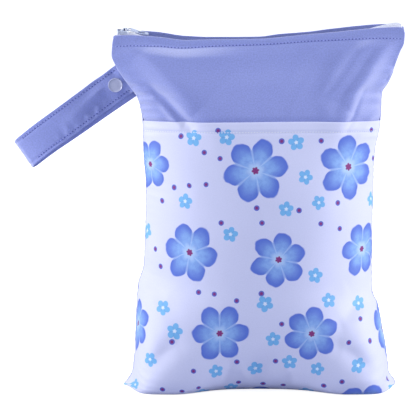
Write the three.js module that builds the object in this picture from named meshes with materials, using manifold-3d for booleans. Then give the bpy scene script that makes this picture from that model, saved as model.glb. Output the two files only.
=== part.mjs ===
// A filled cloth wet bag that stands on its base: plain yoke, printed pocket panel, plain back,
// a zip along the top and a folded wrist strap closed by a snap. Millimetres, +Z up, front faces -Y.
// The origin is on the underside, at the middle of the base.
import * as THREE from "three";
import { mergeVertices } from "three/addons/utils/BufferGeometryUtils.js";
import Module from "manifold-3d";

// Bag body
const TOP_WIDTH = 299;
const BAG_HEIGHT = 366;
const BAG_DEPTH = 116;
const MOUTH_RISE = 11;
const BACK_LIP_RISE = 4.5;
const EAR_LIFT = 0.6;
const SEAM_SET_BACK = 6;
const CLOTH = 1.4;
const CLEARANCE = 0.3;
const FOLD_RELIEF = 6;

// Pocket panel, which lies over the lower edge of the yoke
const HEM_HEIGHT = 284;
const HEM_LAP = 15;
const HEM_PROUD = 0.8;

// Zip
const COIL_WIDTH = 2.4;
const COIL_HEIGHT = 2.4;
const TAPE_CLOTH = 0.7;
const TAPE_DROP = 13;
const ZIP_END_INSET = 2;
const STOP_LENGTH = 3;
const STOP_PROUD = 0.4;
const SLIDER_LENGTH = 12.5;
const SLIDER_INSET = 0.2;
const SLIDER_PLATE = 1.8;
const SLIDER_CHEEK = 1.2;
const CROWN_WIDTH = 1.4;
const CROWN_WALL = 1.1;
const CROWN_SPAN = 1.4;
const CHEEK_DROP = 2;
const PULL_BAR = 1.2;
const PULL_WIDTH = 4.6;
const PULL_LENGTH = 23;
const PULL_ARM = 1.2;
const PULL_TIP = 3.5;
const PULL_DROP = 3.6;
const PULL_SLOT = 7;
const PULL_THICKNESS = 0.96;
const PULL_HOOK = 0.8;

// Wrist strap and its snap
const STRAP_WIDTH = 33;
const STRAP_LENGTH = 132;
const STRAP_CLOTH = 1.6;
const STRAP_BELOW_MOUTH = 43.4;
const STRAP_ANGLE = THREE.MathUtils.degToRad(35.8);
const STRAP_ROOT = 8;
const STRAP_FOLD_RADIUS = 4.2;
const STRAP_SKEW = 6;
const STRAP_DROOP = 2.6;
const SNAP_FROM_SEAM = 11;
const SNAP_DIAMETER = 15;
const SNAP_CAP_HEIGHT = 1.6;
const SNAP_BODY_DIAMETER = 10;
const SNAP_GRIP = 1.5;
const FREE_END = 9;

// The outline seen from the front, left and right of the middle: height on the side seam as a share of the
// seam's own height, and half width as a share of half the top width.
const OUTLINE_LEFT = [
  { up: 0, half: 0.945 },
  { up: 0.0142, half: 0.92 },
  { up: 0.0256, half: 0.9 },
  { up: 0.0424, half: 0.88 },
  { up: 0.0986, half: 0.863 },
  { up: 0.2406, half: 0.846 },
  { up: 0.2977, half: 0.835 },
  { up: 0.3539, half: 0.795 },
  { up: 0.5807, half: 0.778 },
  { up: 0.6655, half: 0.793 },
  { up: 0.7641, half: 0.8 },
  { up: 0.8351, half: 0.843 },
  { up: 0.8518, half: 0.873 },
  { up: 0.8814, half: 0.927 },
  { up: 0.9179, half: 0.984 },
  { up: 0.9492, half: 1.013 },
  { up: 0.986, half: 1.006 },
  { up: 1, half: 1 },
];
const OUTLINE_RIGHT = [
  { up: 0, half: 0.965 },
  { up: 0.0139, half: 0.958 },
  { up: 0.0416, half: 0.915 },
  { up: 0.0694, half: 0.907 },
  { up: 0.1249, half: 0.887 },
  { up: 0.1804, half: 0.86 },
  { up: 0.2359, half: 0.832 },
  { up: 0.2686, half: 0.796 },
  { up: 0.337, half: 0.788 },
  { up: 0.5947, half: 0.793 },
  { up: 0.6591, half: 0.8 },
  { up: 0.7434, half: 0.836 },
  { up: 0.8237, half: 0.845 },
  { up: 0.8584, half: 0.892 },
  { up: 0.8851, half: 0.92 },
  { up: 0.9397, half: 0.968 },
  { up: 0.9644, half: 0.994 },
  { up: 0.991, half: 0.998 },
  { up: 1, half: 0.993 },
];

// The cloth's way from the bottom seam to the lip: along is the share of its length. out is the share of half the
// depth and up the share of the height, at mid width; lobeOut and lobeUp are the same from the lobes outwards,
// where the filled corners stand on the floor; and seam is the share of the height at the side seams.
const PROFILE = [
  { along: 0, out: 0, up: 0, lobeOut: 0, lobeUp: 0, seam: 0 },
  { along: 0.055, out: 0.24, up: 0, lobeOut: 0.43, lobeUp: 0, seam: 0.01 },
  { along: 0.085, out: 0.42, up: 0.007, lobeOut: 0.67, lobeUp: 0, seam: 0.02 },
  { along: 0.13, out: 0.7, up: 0.037, lobeOut: 0.93, lobeUp: 0.004, seam: 0.05 },
  { along: 0.18, out: 0.87, up: 0.085, lobeOut: 1, lobeUp: 0.042, seam: 0.1 },
  { along: 0.25, out: 0.965, up: 0.16, lobeOut: 1.01, lobeUp: 0.126, seam: 0.18 },
  { along: 0.33, out: 1, up: 0.246, lobeOut: 1.01, lobeUp: 0.226, seam: 0.266 },
  { along: 0.5, out: 1, up: 0.432, lobeOut: 1, lobeUp: 0.432, seam: 0.442 },
  { along: 0.65, out: 0.93, up: 0.596, lobeOut: 0.93, lobeUp: 0.596, seam: 0.6 },
  { along: 0.8, out: 0.71, up: 0.756, lobeOut: 0.71, lobeUp: 0.756, seam: 0.745 },
  { along: 0.9, out: 0.43, up: 0.868, lobeOut: 0.43, lobeUp: 0.868, seam: 0.86 },
  { along: 0.96, out: 0.17, up: 0.944, lobeOut: 0.17, lobeUp: 0.944, seam: 0.94 },
  { along: 1, out: 0.02, up: 1, lobeOut: 0.02, lobeUp: 1, seam: 1 },
];

// The lip along the mouth. lip and coil are the heights of the front lip and of the coil's top above the bag's
// height, as shares of MOUTH_RISE, and back is the back lip's height above the front one, as a share of
// BACK_LIP_RISE.
const MOUTH = [
  { across: -1, lip: 0.12, back: 0, coil: 0.52 },
  { across: -0.985, lip: 0.19, back: 0, coil: 0.52 },
  { across: -0.96, lip: 0.24, back: 0, coil: 0.52 },
  { across: -0.88, lip: 0.26, back: 0, coil: 0.5 },
  { across: -0.8, lip: 0.2, back: 1, coil: 0.2 },
  { across: -0.7, lip: 0.1, back: 1, coil: -0.18 },
  { across: -0.5, lip: -0.2, back: 0.82, coil: -0.47 },
  { across: -0.35, lip: -0.14, back: 0.45, coil: -0.4 },
  { across: 0, lip: -0.07, back: 0.35, coil: -0.34 },
  { across: 0.15, lip: 0.08, back: 0.6, coil: -0.2 },
  { across: 0.33, lip: 0.33, back: 0.45, coil: 0.06 },
  { across: 0.5, lip: 0.52, back: 0.7, coil: 0.22 },
  { across: 0.66, lip: 0.74, back: 0.75, coil: 0.52 },
  { across: 0.84, lip: 0.95, back: 0.7, coil: 1.15 },
  { across: 0.95, lip: 1, back: 0.6, coil: 1.43 },
  { across: 0.98, lip: 0.98, back: 0.5, coil: 1.22 },
  { across: 1, lip: 0.8, back: 0.4, coil: 0.95 },
];

// Ridges and hollows of the filled cloth. Each runs between two points given as shares of the half width and of
// the height. Its half breadth is a share of the top width, and its relief a share of FOLD_RELIEF.
const FRONT_FOLDS = [
  { across: -0.93, up: 0.93, toAcross: -0.45, toUp: 0.77, breadth: 0.045, relief: 0.8 },
  { across: -0.7, up: 0.93, toAcross: -0.3, toUp: 0.81, breadth: 0.04, relief: -0.5 },
  { across: -0.84, up: 0.8, toAcross: -0.56, toUp: 0.73, breadth: 0.035, relief: -0.7 },
  { across: 0.84, up: 0.93, toAcross: 0.46, toUp: 0.76, breadth: 0.035, relief: 0.7 },
  { across: 0.93, up: 0.9, toAcross: 0.66, toUp: 0.79, breadth: 0.03, relief: -0.8 },
  { across: 0.97, up: 0.94, toAcross: 0.78, toUp: 0.73, breadth: 0.03, relief: 0.6 },
  { across: 0.35, up: 0.92, toAcross: 0.2, toUp: 0.8, breadth: 0.05, relief: -0.35 },
  { across: 0.97, up: 0.27, toAcross: 0.68, toUp: 0.2, breadth: 0.04, relief: -0.9 },
  { across: -0.97, up: 0.31, toAcross: -0.74, toUp: 0.25, breadth: 0.04, relief: -0.6 },
  { across: -0.93, up: 0.06, toAcross: -0.66, toUp: 0.15, breadth: 0.035, relief: -0.8 },
  { across: 0.93, up: 0.06, toAcross: 0.64, toUp: 0.14, breadth: 0.035, relief: -0.8 },
  { across: -0.1, up: 0.03, toAcross: 0.12, toUp: 0.1, breadth: 0.05, relief: -0.7 },
];
const BACK_FOLDS = [
  { across: -0.93, up: 0.92, toAcross: -0.5, toUp: 0.74, breadth: 0.045, relief: 0.8 },
  { across: -0.8, up: 0.9, toAcross: -0.6, toUp: 0.76, breadth: 0.035, relief: -0.7 },
  { across: 0.92, up: 0.92, toAcross: 0.42, toUp: 0.72, breadth: 0.045, relief: 0.8 },
  { across: 0.84, up: 0.87, toAcross: 0.66, toUp: 0.74, breadth: 0.035, relief: -0.6 },
  { across: 0.1, up: 0.93, toAcross: -0.06, toUp: 0.72, breadth: 0.06, relief: -0.4 },
  { across: -0.97, up: 0.3, toAcross: -0.7, toUp: 0.22, breadth: 0.04, relief: -0.8 },
  { across: 0.97, up: 0.33, toAcross: 0.7, toUp: 0.26, breadth: 0.04, relief: -0.8 },
  { across: -0.93, up: 0.06, toAcross: -0.64, toUp: 0.15, breadth: 0.035, relief: -0.8 },
  { across: 0.93, up: 0.06, toAcross: 0.64, toUp: 0.15, breadth: 0.035, relief: -0.8 },
];

// Shape of the filled body across its width
const ROUND_POWER = 2.4;
const ROUND_FULLNESS = 0.75;
const BASE_POWER = 14;
const BASE_FULLNESS = 0.5;
const BASE_SHAPE_END = 0.4;
const BASE_FLAT_SHARE = 0.88;
const BASE_END = 0.1;
const BASE_RIM = 0.04;
const LOBE_AT = 0.66;
const LOBE_BREADTH = 0.3;
const FOLDS_START = 0.2;
const RISE_START = 0.8;
const SEAM_EDGE = 0.93;
const MOUTH_START = 0.93;
const MOUTH_END = 0.985;
const FOLD_END_RELIEF = 0.35;
const FOLD_END_SHARE = 0.1;

const FRONT = -1;
const BACK = 1;
const HALF_WIDTH = TOP_WIDTH / 2;
const HALF_DEPTH = BAG_DEPTH / 2;
const ZIP_HALF = COIL_WIDTH / 2 + TAPE_CLOTH + 2 * CLEARANCE;
const STRAP_HALF_GAP = STRAP_CLOTH / 2 + CLEARANCE;
const SLOPE_STEP = 0.002;

const { smoothstep, lerp, clamp } = THREE.MathUtils;

// The slope at one row of a table, by the rule that never lets the curve overshoot its rows.
function rowSlope(rows, by, column, i) {
  if (i === 0 || i === rows.length - 1) return 0;
  const before = (rows[i][column] - rows[i - 1][column]) / (rows[i][by] - rows[i - 1][by]);
  const after = (rows[i + 1][column] - rows[i][column]) / (rows[i + 1][by] - rows[i][by]);
  return before * after <= 0 ? 0 : (2 * before * after) / (before + after);
}

// A smooth curve through one column of a table, read at a value of the column named by.
function follow(rows, by, column, value) {
  const at = clamp(value, rows[0][by], rows[rows.length - 1][by]);
  let i = 0;
  while (i < rows.length - 2 && at > rows[i + 1][by]) i += 1;
  const span = rows[i + 1][by] - rows[i][by];
  const t = (at - rows[i][by]) / span;
  const s = 1 - t;
  return (
    rows[i][column] * s * s * (1 + 2 * t) +
    rows[i + 1][column] * t * t * (1 + 2 * s) +
    rowSlope(rows, by, column, i) * span * t * s * s -
    rowSlope(rows, by, column, i + 1) * span * s * t * t
  );
}

// Height of a lip above the floor.
function lipHeight(face, across) {
  const front = BAG_HEIGHT + MOUTH_RISE * follow(MOUTH, "across", "lip", across);
  return face === FRONT ? front : front + BACK_LIP_RISE * follow(MOUTH, "across", "back", across);
}

// How far a level place near the mouth is raised, so that the cloth ends at the lip.
function mouthRise(across, along) {
  return (lipHeight(FRONT, across) - BAG_HEIGHT) * smoothstep(along, RISE_START, 1);
}

// Height on the side seam, before the mouth's rise.
function levelSeam(along) {
  return lerp(EAR_LIFT, BAG_HEIGHT, follow(PROFILE, "along", "seam", along));
}

// Height on the side seam, from the tip of the bottom corner to the end of the zip.
function seamHeight(side, along) {
  return levelSeam(along) + mouthRise(side, along);
}

// Half width of the outline at a share of the way up the cloth.
function halfWidth(side, along) {
  const share = seamHeight(side, along) / lipHeight(FRONT, side);
  return HALF_WIDTH * follow(side < 0 ? OUTLINE_LEFT : OUTLINE_RIGHT, "up", "half", share);
}

// The share of the way up the cloth at which a rising height, given as a function of it, reaches a value.
function alongWhere(heightAt, value) {
  let low = 0;
  let high = 1;
  for (let step = 0; step < 30; step += 1) {
    const mid = (low + high) / 2;
    if (heightAt(mid) < value) low = mid;
    else high = mid;
  }
  return (low + high) / 2;
}

const STRAP_SEAM_HEIGHT = lipHeight(FRONT, -1) - STRAP_BELOW_MOUTH;
const STRAP_ALONG = alongWhere((along) => seamHeight(-1, along), STRAP_SEAM_HEIGHT);
const STRAP_CLEAR = 1.8;

// Half of the space between the two faces: a hair at the seams, more round the zip and where the strap is
// sewn into the left seam.
function halfGap(across, along) {
  const zip = (ZIP_HALF - CLEARANCE / 2) * smoothstep(along, MOUTH_START, MOUTH_END);
  const reach = STRAP_WIDTH / 2 / BAG_HEIGHT;
  const near = 1 - smoothstep(Math.abs(along - STRAP_ALONG), reach, STRAP_CLEAR * reach);
  const strap = across < 0 ? (STRAP_HALF_GAP - CLEARANCE / 2) * near * across ** 6 : 0;
  return CLEARANCE / 2 + Math.max(zip, strap);
}

// Relief of the folds at a point given in shares.
function foldRelief(folds, across, up) {
  let sum = 0;
  for (const fold of folds) {
    const run = new THREE.Vector2(
      (fold.toAcross - fold.across) * HALF_WIDTH,
      (fold.toUp - fold.up) * BAG_HEIGHT,
    );
    const here = new THREE.Vector2((across - fold.across) * HALF_WIDTH, (up - fold.up) * BAG_HEIGHT);
    const share = clamp(here.dot(run) / run.lengthSq(), 0, 1);
    const distance = here.distanceTo(run.clone().multiplyScalar(share));
    const middle = Math.sin(Math.PI * clamp(share, FOLD_END_SHARE, 1 - FOLD_END_SHARE));
    const fade = lerp(FOLD_END_RELIEF, 1, middle);
    sum += fold.relief * fade * Math.exp(-((distance / (fold.breadth * TOP_WIDTH)) ** 2));
  }
  return FOLD_RELIEF * sum;
}

// How far the filled corners are from the middle: 0 at mid width, and 1 from the lobes outwards.
function lobeShare(across) {
  const edge = Math.abs(across);
  return edge > LOBE_AT ? 1 : Math.exp(-(((edge - LOBE_AT) / LOBE_BREADTH) ** 2));
}

// How far one face of the filled body stands out from the plane of the seams.
function reach(face, across, along, up) {
  const edge = Math.abs(across);
  const body = smoothstep(along, BASE_END, BASE_SHAPE_END);
  const power = lerp(BASE_POWER, ROUND_POWER, body);
  const round = Math.max(0, 1 - edge ** power) ** lerp(BASE_FULLNESS, ROUND_FULLNESS, body);
  const middle = follow(PROFILE, "along", "out", along);
  const out = lerp(middle, follow(PROFILE, "along", "lobeOut", along), lobeShare(across));
  const folds = foldRelief(face === FRONT ? FRONT_FOLDS : BACK_FOLDS, across, up);
  const free = (1 - edge ** 6) * smoothstep(along, BASE_END, FOLDS_START) * (1 - smoothstep(along, MOUTH_START, 1));
  return HALF_DEPTH * out * round + folds * free;
}

// The outer skin of the bag: face is FRONT or BACK, across runs from -1 at the left seam to 1 at the right one,
// and along from 0 at the bottom seam to 1 at the lip.
function skin(face, across, along) {
  const side = across < 0 ? -1 : 1;
  const edge = Math.abs(across);
  const middle = follow(PROFILE, "along", "up", along);
  const up = lerp(middle, follow(PROFILE, "along", "lobeUp", along), lobeShare(across));
  const low = clamp((edge - BASE_FLAT_SHARE) / (1 - BASE_FLAT_SHARE), 0, 1) ** 3;
  const toSeam = lerp(low, edge ** 2.5, smoothstep(along, BASE_END, BASE_SHAPE_END));
  const height = lerp(BAG_HEIGHT * up, levelSeam(along), toSeam) + mouthRise(across, along);
  const rise = lipHeight(face, across) - lipHeight(FRONT, across);
  const seam = SEAM_SET_BACK * (1 - edge ** 2) * (1 - smoothstep(along, 0, BASE_END));
  const wall = CLOTH * smoothstep(along, 0, BASE_RIM);
  return new THREE.Vector3(
    across * halfWidth(side, along),
    seam + face * (halfGap(across, along) + wall + reach(face, across, along, up)),
    height + rise * smoothstep(along, MOUTH_START, 1),
  );
}

// The skin moved inwards by a depth: straight up at the bottom seam, straight back at the side seams, and square
// to the cloth elsewhere, but never past the plane of the seams.
function inside(face, across, along, depth) {
  const here = skin(face, across, along);
  const a = clamp(across, SLOPE_STEP - 1, 1 - SLOPE_STEP);
  const v = clamp(along, SLOPE_STEP, 1 - SLOPE_STEP);
  const wide = skin(face, a + SLOPE_STEP, v).sub(skin(face, a - SLOPE_STEP, v));
  const tall = skin(face, a, v + SLOPE_STEP).sub(skin(face, a, v - SLOPE_STEP));
  const inward = tall.cross(wide).multiplyScalar(-face).normalize();
  inward.lerp(new THREE.Vector3(0, -face, 0), smoothstep(Math.abs(across), SEAM_EDGE, 1));
  inward.lerp(new THREE.Vector3(0, 0, 1), 1 - smoothstep(along, 0, BASE_RIM)).normalize();
  here.addScaledVector(inward, depth);
  const seam = SEAM_SET_BACK * (1 - across ** 2) * (1 - smoothstep(along, 0, BASE_END));
  const least = seam + face * halfGap(across, along);
  here.y = face === FRONT ? Math.min(here.y, least) : Math.max(here.y, least);
  return here;
}

// A closed wall between two faces on the same grid. outer and inner give points for i across and j along.
function closedWall(columns, rows, outer, inner, turned) {
  const points = [];
  const faces = [];
  const stride = columns + 1;
  const layer = stride * (rows + 1);
  for (const side of [outer, inner]) {
    for (let j = 0; j <= rows; j += 1) {
      for (let i = 0; i <= columns; i += 1) points.push(...side(i, j).toArray());
    }
  }
  const quad = (a, b, c, d) => faces.push(...(turned ? [a, c, b, a, d, c] : [a, b, c, a, c, d]));
  for (let j = 0; j < rows; j += 1) {
    for (let i = 0; i < columns; i += 1) {
      const a = j * stride + i;
      quad(a, a + 1, a + stride + 1, a + stride);
      quad(a + layer, a + layer + stride, a + layer + stride + 1, a + layer + 1);
    }
  }
  const rim = [];
  for (let i = 0; i < columns; i += 1) rim.push(i);
  for (let j = 0; j < rows; j += 1) rim.push(j * stride + columns);
  for (let i = columns; i > 0; i -= 1) rim.push(rows * stride + i);
  for (let j = rows; j > 0; j -= 1) rim.push(j * stride);
  rim.forEach((a, k) => {
    const b = rim[(k + 1) % rim.length];
    quad(b, a, a + layer, b + layer);
  });
  const geometry = new THREE.BufferGeometry();
  geometry.setAttribute("position", new THREE.Float32BufferAttribute(points, 3));
  geometry.setIndex(faces);
  geometry.computeVertexNormals();
  return geometry;
}

// Stations from -1 to 1 that lie closer together near the seams.
function acrossStation(i, columns) {
  const t = (2 * i) / columns - 1;
  return 0.55 * t + 0.45 * Math.sin((Math.PI / 2) * t);
}

// Stations from 0 to a top, with a share of the rows spent on the rounded foot.
function alongStation(j, rows, top) {
  const FOOT_ROWS = 0.34;
  const FOOT_TOP = 0.2;
  const t = j / rows;
  return t < FOOT_ROWS
    ? (FOOT_TOP * t) / FOOT_ROWS
    : lerp(FOOT_TOP, top, (t - FOOT_ROWS) / (1 - FOOT_ROWS));
}

// Height of the cloth at mid width.
function centreHeight(along) {
  return BAG_HEIGHT * follow(PROFILE, "along", "up", along);
}

const HEM_ALONG = alongWhere(centreHeight, HEM_HEIGHT);
const LAP_ALONG = alongWhere(centreHeight, HEM_HEIGHT - HEM_LAP);
const LAP_BLEND = 0.018;
const LAP_NARROW = 0.035;
const LAP_EASE = 0.9;

// How far the pocket panel stands proud of the skin, most at its hem.
function pocketProud(across, along) {
  return HEM_PROUD * smoothstep(along, LAP_ALONG - 0.1, HEM_ALONG) * (1 - across ** 8);
}

function pocketPanel() {
  const columns = 26;
  const rows = 30;
  const at = (depth) => (i, j) => {
    const across = acrossStation(i, columns);
    const along = alongStation(j, rows, HEM_ALONG);
    return inside(FRONT, across, along, depth - pocketProud(across, along));
  };
  return closedWall(columns, rows, at(0), at(CLOTH), false);
}

// The yoke's lower edge goes in behind the hem, narrower than the pocket panel so that it clears the seams.
function frontYoke() {
  const columns = 26;
  const lapRows = 2;
  const rows = 12;
  const at = (depth) => (i, j) => {
    const along =
      j <= lapRows
        ? lerp(LAP_ALONG, HEM_ALONG, j / lapRows)
        : lerp(HEM_ALONG + LAP_BLEND, 1, (j - lapRows - 1) / (rows - lapRows - 1));
    const under = 1 - smoothstep(along, HEM_ALONG, HEM_ALONG + LAP_BLEND);
    const across = acrossStation(i, columns) * (1 - LAP_NARROW * under);
    const sunk = (CLOTH + CLEARANCE + LAP_EASE - pocketProud(across, along)) * under;
    return inside(FRONT, across, along, depth + sunk);
  };
  return closedWall(columns, rows, at(0), at(CLOTH), false);
}

function backPanel() {
  const columns = 24;
  const rows = 36;
  const at = (depth) => (i, j) => {
    const across = acrossStation(i, columns);
    return inside(BACK, across, alongStation(j, rows, 1), depth);
  };
  return closedWall(columns, rows, at(0), at(CLOTH), true);
}

// Height of the top of the coil.
function coilHeight(across) {
  return BAG_HEIGHT + MOUTH_RISE * follow(MOUTH, "across", "coil", across);
}

// A bar that follows the zip: its height runs from low to high around the coil's top, and its thickness from
// near to far across the mouth.
function zipBar(fromX, toX, low, high, near, far, steps) {
  const at = (y) => (i, j) => {
    const x = lerp(fromX, toX, i / steps);
    return new THREE.Vector3(x, y, coilHeight(x / HALF_WIDTH) + (j ? high : low));
  };
  return closedWall(steps, 1, at(near), at(far), false);
}

const ZIP_END = HALF_WIDTH * follow(OUTLINE_RIGHT, "up", "half", 1) - ZIP_END_INSET;
const TAPE_FAR = COIL_WIDTH / 2 + CLEARANCE + TAPE_CLOTH;
const TAPE_NEAR = COIL_WIDTH / 2 + CLEARANCE;

const ZIP_STEPS = 22;

const tapeFront = () => zipBar(-ZIP_END, ZIP_END, -TAPE_DROP, 0, -TAPE_FAR, -TAPE_NEAR, ZIP_STEPS);
const tapeBack = () => zipBar(-ZIP_END, ZIP_END, -TAPE_DROP, 0, TAPE_NEAR, TAPE_FAR, ZIP_STEPS);
const zipCoil = () => {
  const end = ZIP_END - STOP_LENGTH - CLEARANCE;
  return zipBar(-ZIP_END, end, -COIL_HEIGHT, 0, -COIL_WIDTH / 2, COIL_WIDTH / 2, ZIP_STEPS);
};
const endStop = () => {
  const low = -COIL_HEIGHT - STOP_PROUD;
  return zipBar(ZIP_END - STOP_LENGTH, ZIP_END, low, STOP_PROUD, -COIL_WIDTH / 2, COIL_WIDTH / 2, 1);
};

const wasm = await Module();
wasm.setup();

function toSolid(geometry) {
  const bare = geometry.clone();
  bare.deleteAttribute("normal");
  bare.deleteAttribute("uv");
  const merged = mergeVertices(bare, 1e-4);
  return new wasm.Manifold(
    new wasm.Mesh({
      numProp: 3,
      vertProperties: new Float32Array(merged.attributes.position.array),
      triVerts: new Uint32Array(merged.index.array),
    }),
  );
}

function fromSolid(solid) {
  const mesh = solid.getMesh();
  const geometry = new THREE.BufferGeometry();
  geometry.setAttribute("position", new THREE.BufferAttribute(mesh.vertProperties, 3));
  geometry.setIndex(new THREE.BufferAttribute(mesh.triVerts, 1));
  geometry.computeVertexNormals();
  return geometry;
}

function block(wide, deep, tall, x, y, z) {
  return toSolid(new THREE.BoxGeometry(wide, deep, tall).translate(x, y, z));
}

// A flat shape in X and Z, drawn out along Y and centred on it.
function sidePlate(shape, deep) {
  const geometry = new THREE.ExtrudeGeometry(shape, { depth: deep, bevelEnabled: false, curveSegments: 8 });
  return toSolid(geometry.rotateX(Math.PI / 2).translate(0, deep / 2, 0));
}

// Slider: a plate over the coil, a cheek down each side of the tapes, and a crown over the bar of the pull.
const SLIDER_X = -ZIP_END + SLIDER_INSET + SLIDER_LENGTH / 2;
const SLIDER_UNDER = coilHeight(SLIDER_X / HALF_WIDTH) + CLEARANCE;
const SLIDER_TOP = SLIDER_UNDER + SLIDER_PLATE;
const SLIDER_WIDTH = 2 * (TAPE_FAR + CLEARANCE + SLIDER_CHEEK);
const PULL_AXIS_UP = SLIDER_TOP + PULL_BAR / 2 + CLEARANCE;
const PULL_AXIS_X = SLIDER_X + SLIDER_LENGTH / 2 - CROWN_WALL - CLEARANCE - PULL_BAR;
const CHEEK_LENGTH = 0.8 * SLIDER_LENGTH;

function sliderBody() {
  const plate = block(SLIDER_LENGTH, SLIDER_WIDTH, SLIDER_PLATE, SLIDER_X, 0, SLIDER_UNDER + SLIDER_PLATE / 2);
  const cheekY = SLIDER_WIDTH / 2 - SLIDER_CHEEK / 2;
  const cheekTall = CHEEK_DROP + SLIDER_PLATE;
  const cheekZ = SLIDER_TOP - cheekTall / 2;
  const left = block(CHEEK_LENGTH, SLIDER_CHEEK, cheekTall, SLIDER_X, -cheekY, cheekZ);
  const right = block(CHEEK_LENGTH, SLIDER_CHEEK, cheekTall, SLIDER_X, cheekY, cheekZ);
  const hole = PULL_BAR / 2 + CLEARANCE;
  const rim = hole + CROWN_WALL;
  const foot = SLIDER_TOP - SLIDER_PLATE / 2;
  const arch = new THREE.Shape();
  arch.moveTo(PULL_AXIS_X + rim, foot);
  arch.absarc(PULL_AXIS_X, PULL_AXIS_UP, rim, 0, Math.PI / 2, false);
  arch.absarc(PULL_AXIS_X - CROWN_SPAN, PULL_AXIS_UP, rim, Math.PI / 2, Math.PI, false);
  arch.lineTo(PULL_AXIS_X - CROWN_SPAN - rim, foot);
  arch.lineTo(PULL_AXIS_X - CROWN_SPAN - hole, foot);
  arch.absarc(PULL_AXIS_X - CROWN_SPAN, PULL_AXIS_UP, hole, Math.PI, Math.PI / 2, true);
  arch.absarc(PULL_AXIS_X, PULL_AXIS_UP, hole, Math.PI / 2, 0, true);
  arch.lineTo(PULL_AXIS_X + hole, foot);
  arch.closePath();
  return fromSolid(plate.add(left).add(right).add(sidePlate(arch, CROWN_WIDTH)));
}

// Pull: a curved plate that starts at its round bar, with an eye for the crown and a slot for a finger loop.
function pullTab() {
  const half = PULL_BAR / 2;
  const upper = [];
  const lower = [];
  const steps = 12;
  const bendStart = 0.12;
  const bendEnd = 0.8;
  const hookStart = 0.85;
  for (let k = 1; k <= steps; k += 1) {
    const t = k / steps;
    const x = PULL_LENGTH * t;
    const hook = (PULL_HOOK * Math.max(0, t - hookStart)) / (1 - hookStart);
    const z = -PULL_DROP * smoothstep(t, bendStart, bendEnd) - hook;
    upper.push(new THREE.Vector2(x, z + PULL_THICKNESS / 2));
    lower.unshift(new THREE.Vector2(x, z - PULL_THICKNESS / 2));
  }
  const outline = new THREE.Shape();
  outline.absarc(0, 0, half, -Math.PI / 2, -Math.PI * 1.5, true);
  for (const point of upper) outline.lineTo(point.x, point.y);
  for (const point of lower) outline.lineTo(point.x, point.y);
  outline.closePath();
  const eyeLong = CROWN_SPAN + PULL_BAR + CROWN_WALL + 2 * CLEARANCE;
  const eyeWide = CROWN_WIDTH + 2 * CLEARANCE;
  const plate = sidePlate(outline, PULL_WIDTH);
  const eyeStart = 0.75 * half;
  const eye = block(eyeLong, eyeWide, 2 * PULL_LENGTH, eyeStart + eyeLong / 2, 0, 0);
  const slotWide = PULL_WIDTH - 2 * PULL_ARM;
  const slotX = PULL_LENGTH - PULL_TIP - PULL_SLOT / 2;
  const slot = block(PULL_SLOT, slotWide, 2 * PULL_LENGTH, slotX, 0, 0);
  return fromSolid(plate.subtract(eye).subtract(slot)).translate(PULL_AXIS_X, 0, PULL_AXIS_UP);
}

// Strap: a flat band whose middle line leaves the left seam, turns back on itself and returns behind.
const STRAP_START = new THREE.Vector3(-halfWidth(-1, STRAP_ALONG), 0, STRAP_SEAM_HEIGHT);
const STRAP_RUN = new THREE.Vector3(-Math.cos(STRAP_ANGLE), 0, -Math.sin(STRAP_ANGLE));
const STRAP_WAY = new THREE.Vector3(Math.sin(STRAP_ANGLE), 0, -Math.cos(STRAP_ANGLE));
const LAYER_STEP = STRAP_CLOTH + 2 * SNAP_GRIP + 3 * CLEARANCE;
const STRAP_CLOSING = 0.85;
const DROOP_START = 0.7;

// The strap's middle line by distance from its sewn end: run along the strap, depth behind it, and the way that
// its thickness faces.
function strapLine(t) {
  const turn = STRAP_LENGTH - STRAP_FOLD_RADIUS;
  const front = turn + STRAP_ROOT;
  const arc = Math.PI * STRAP_FOLD_RADIUS;
  const backEnd = SNAP_FROM_SEAM - FREE_END;
  const rear = turn - backEnd;
  const length = t * (front + arc + rear);
  if (length <= front) return { run: length - STRAP_ROOT, depth: 0, angle: 0, skew: 0 };
  if (length <= front + arc) {
    const angle = (length - front) / STRAP_FOLD_RADIUS;
    return {
      run: turn + STRAP_FOLD_RADIUS * Math.sin(angle),
      depth: STRAP_FOLD_RADIUS * (1 - Math.cos(angle)),
      angle,
      skew: (0.5 * STRAP_SKEW * angle) / Math.PI,
    };
  }
  const share = (length - front - arc) / rear;
  return {
    run: turn - share * rear,
    depth: lerp(2 * STRAP_FOLD_RADIUS, LAYER_STEP, smoothstep(share, 0, STRAP_CLOSING)),
    angle: Math.PI,
    skew: 0.5 * STRAP_SKEW * (1 + share),
  };
}

function strapPoint(t, sideways, thick) {
  const line = strapLine(t);
  const far = Math.max(0, line.run / STRAP_LENGTH - DROOP_START) / (1 - DROOP_START);
  return STRAP_START.clone()
    .addScaledVector(STRAP_RUN, line.run + thick * Math.sin(line.angle))
    .addScaledVector(STRAP_WAY, sideways + line.skew + STRAP_DROOP * far ** 2)
    .add(new THREE.Vector3(0, line.depth - thick * Math.cos(line.angle), 0));
}

// Stations along the strap, close together round the fold.
function strapStation(i, steps) {
  const turn = STRAP_LENGTH - STRAP_FOLD_RADIUS;
  const arc = Math.PI * STRAP_FOLD_RADIUS;
  const total = turn + STRAP_ROOT + arc + turn - SNAP_FROM_SEAM + FREE_END;
  const foldStart = (turn + STRAP_ROOT) / total;
  const foldEnd = foldStart + arc / total;
  const t = i / steps;
  const before = 0.35;
  const after = 0.65;
  if (t < before) return (foldStart * t) / before;
  if (t < after) return lerp(foldStart, foldEnd, (t - before) / (after - before));
  return lerp(foldEnd, 1, (t - after) / (1 - after));
}

function strapLoop() {
  const steps = 40;
  const lanes = 4;
  const at = (thick) => (i, j) =>
    strapPoint(strapStation(i, steps), STRAP_WIDTH * (j / lanes - 0.5), thick);
  return closedWall(steps, lanes, at(STRAP_CLOTH / 2), at(-STRAP_CLOTH / 2), false);
}

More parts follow.
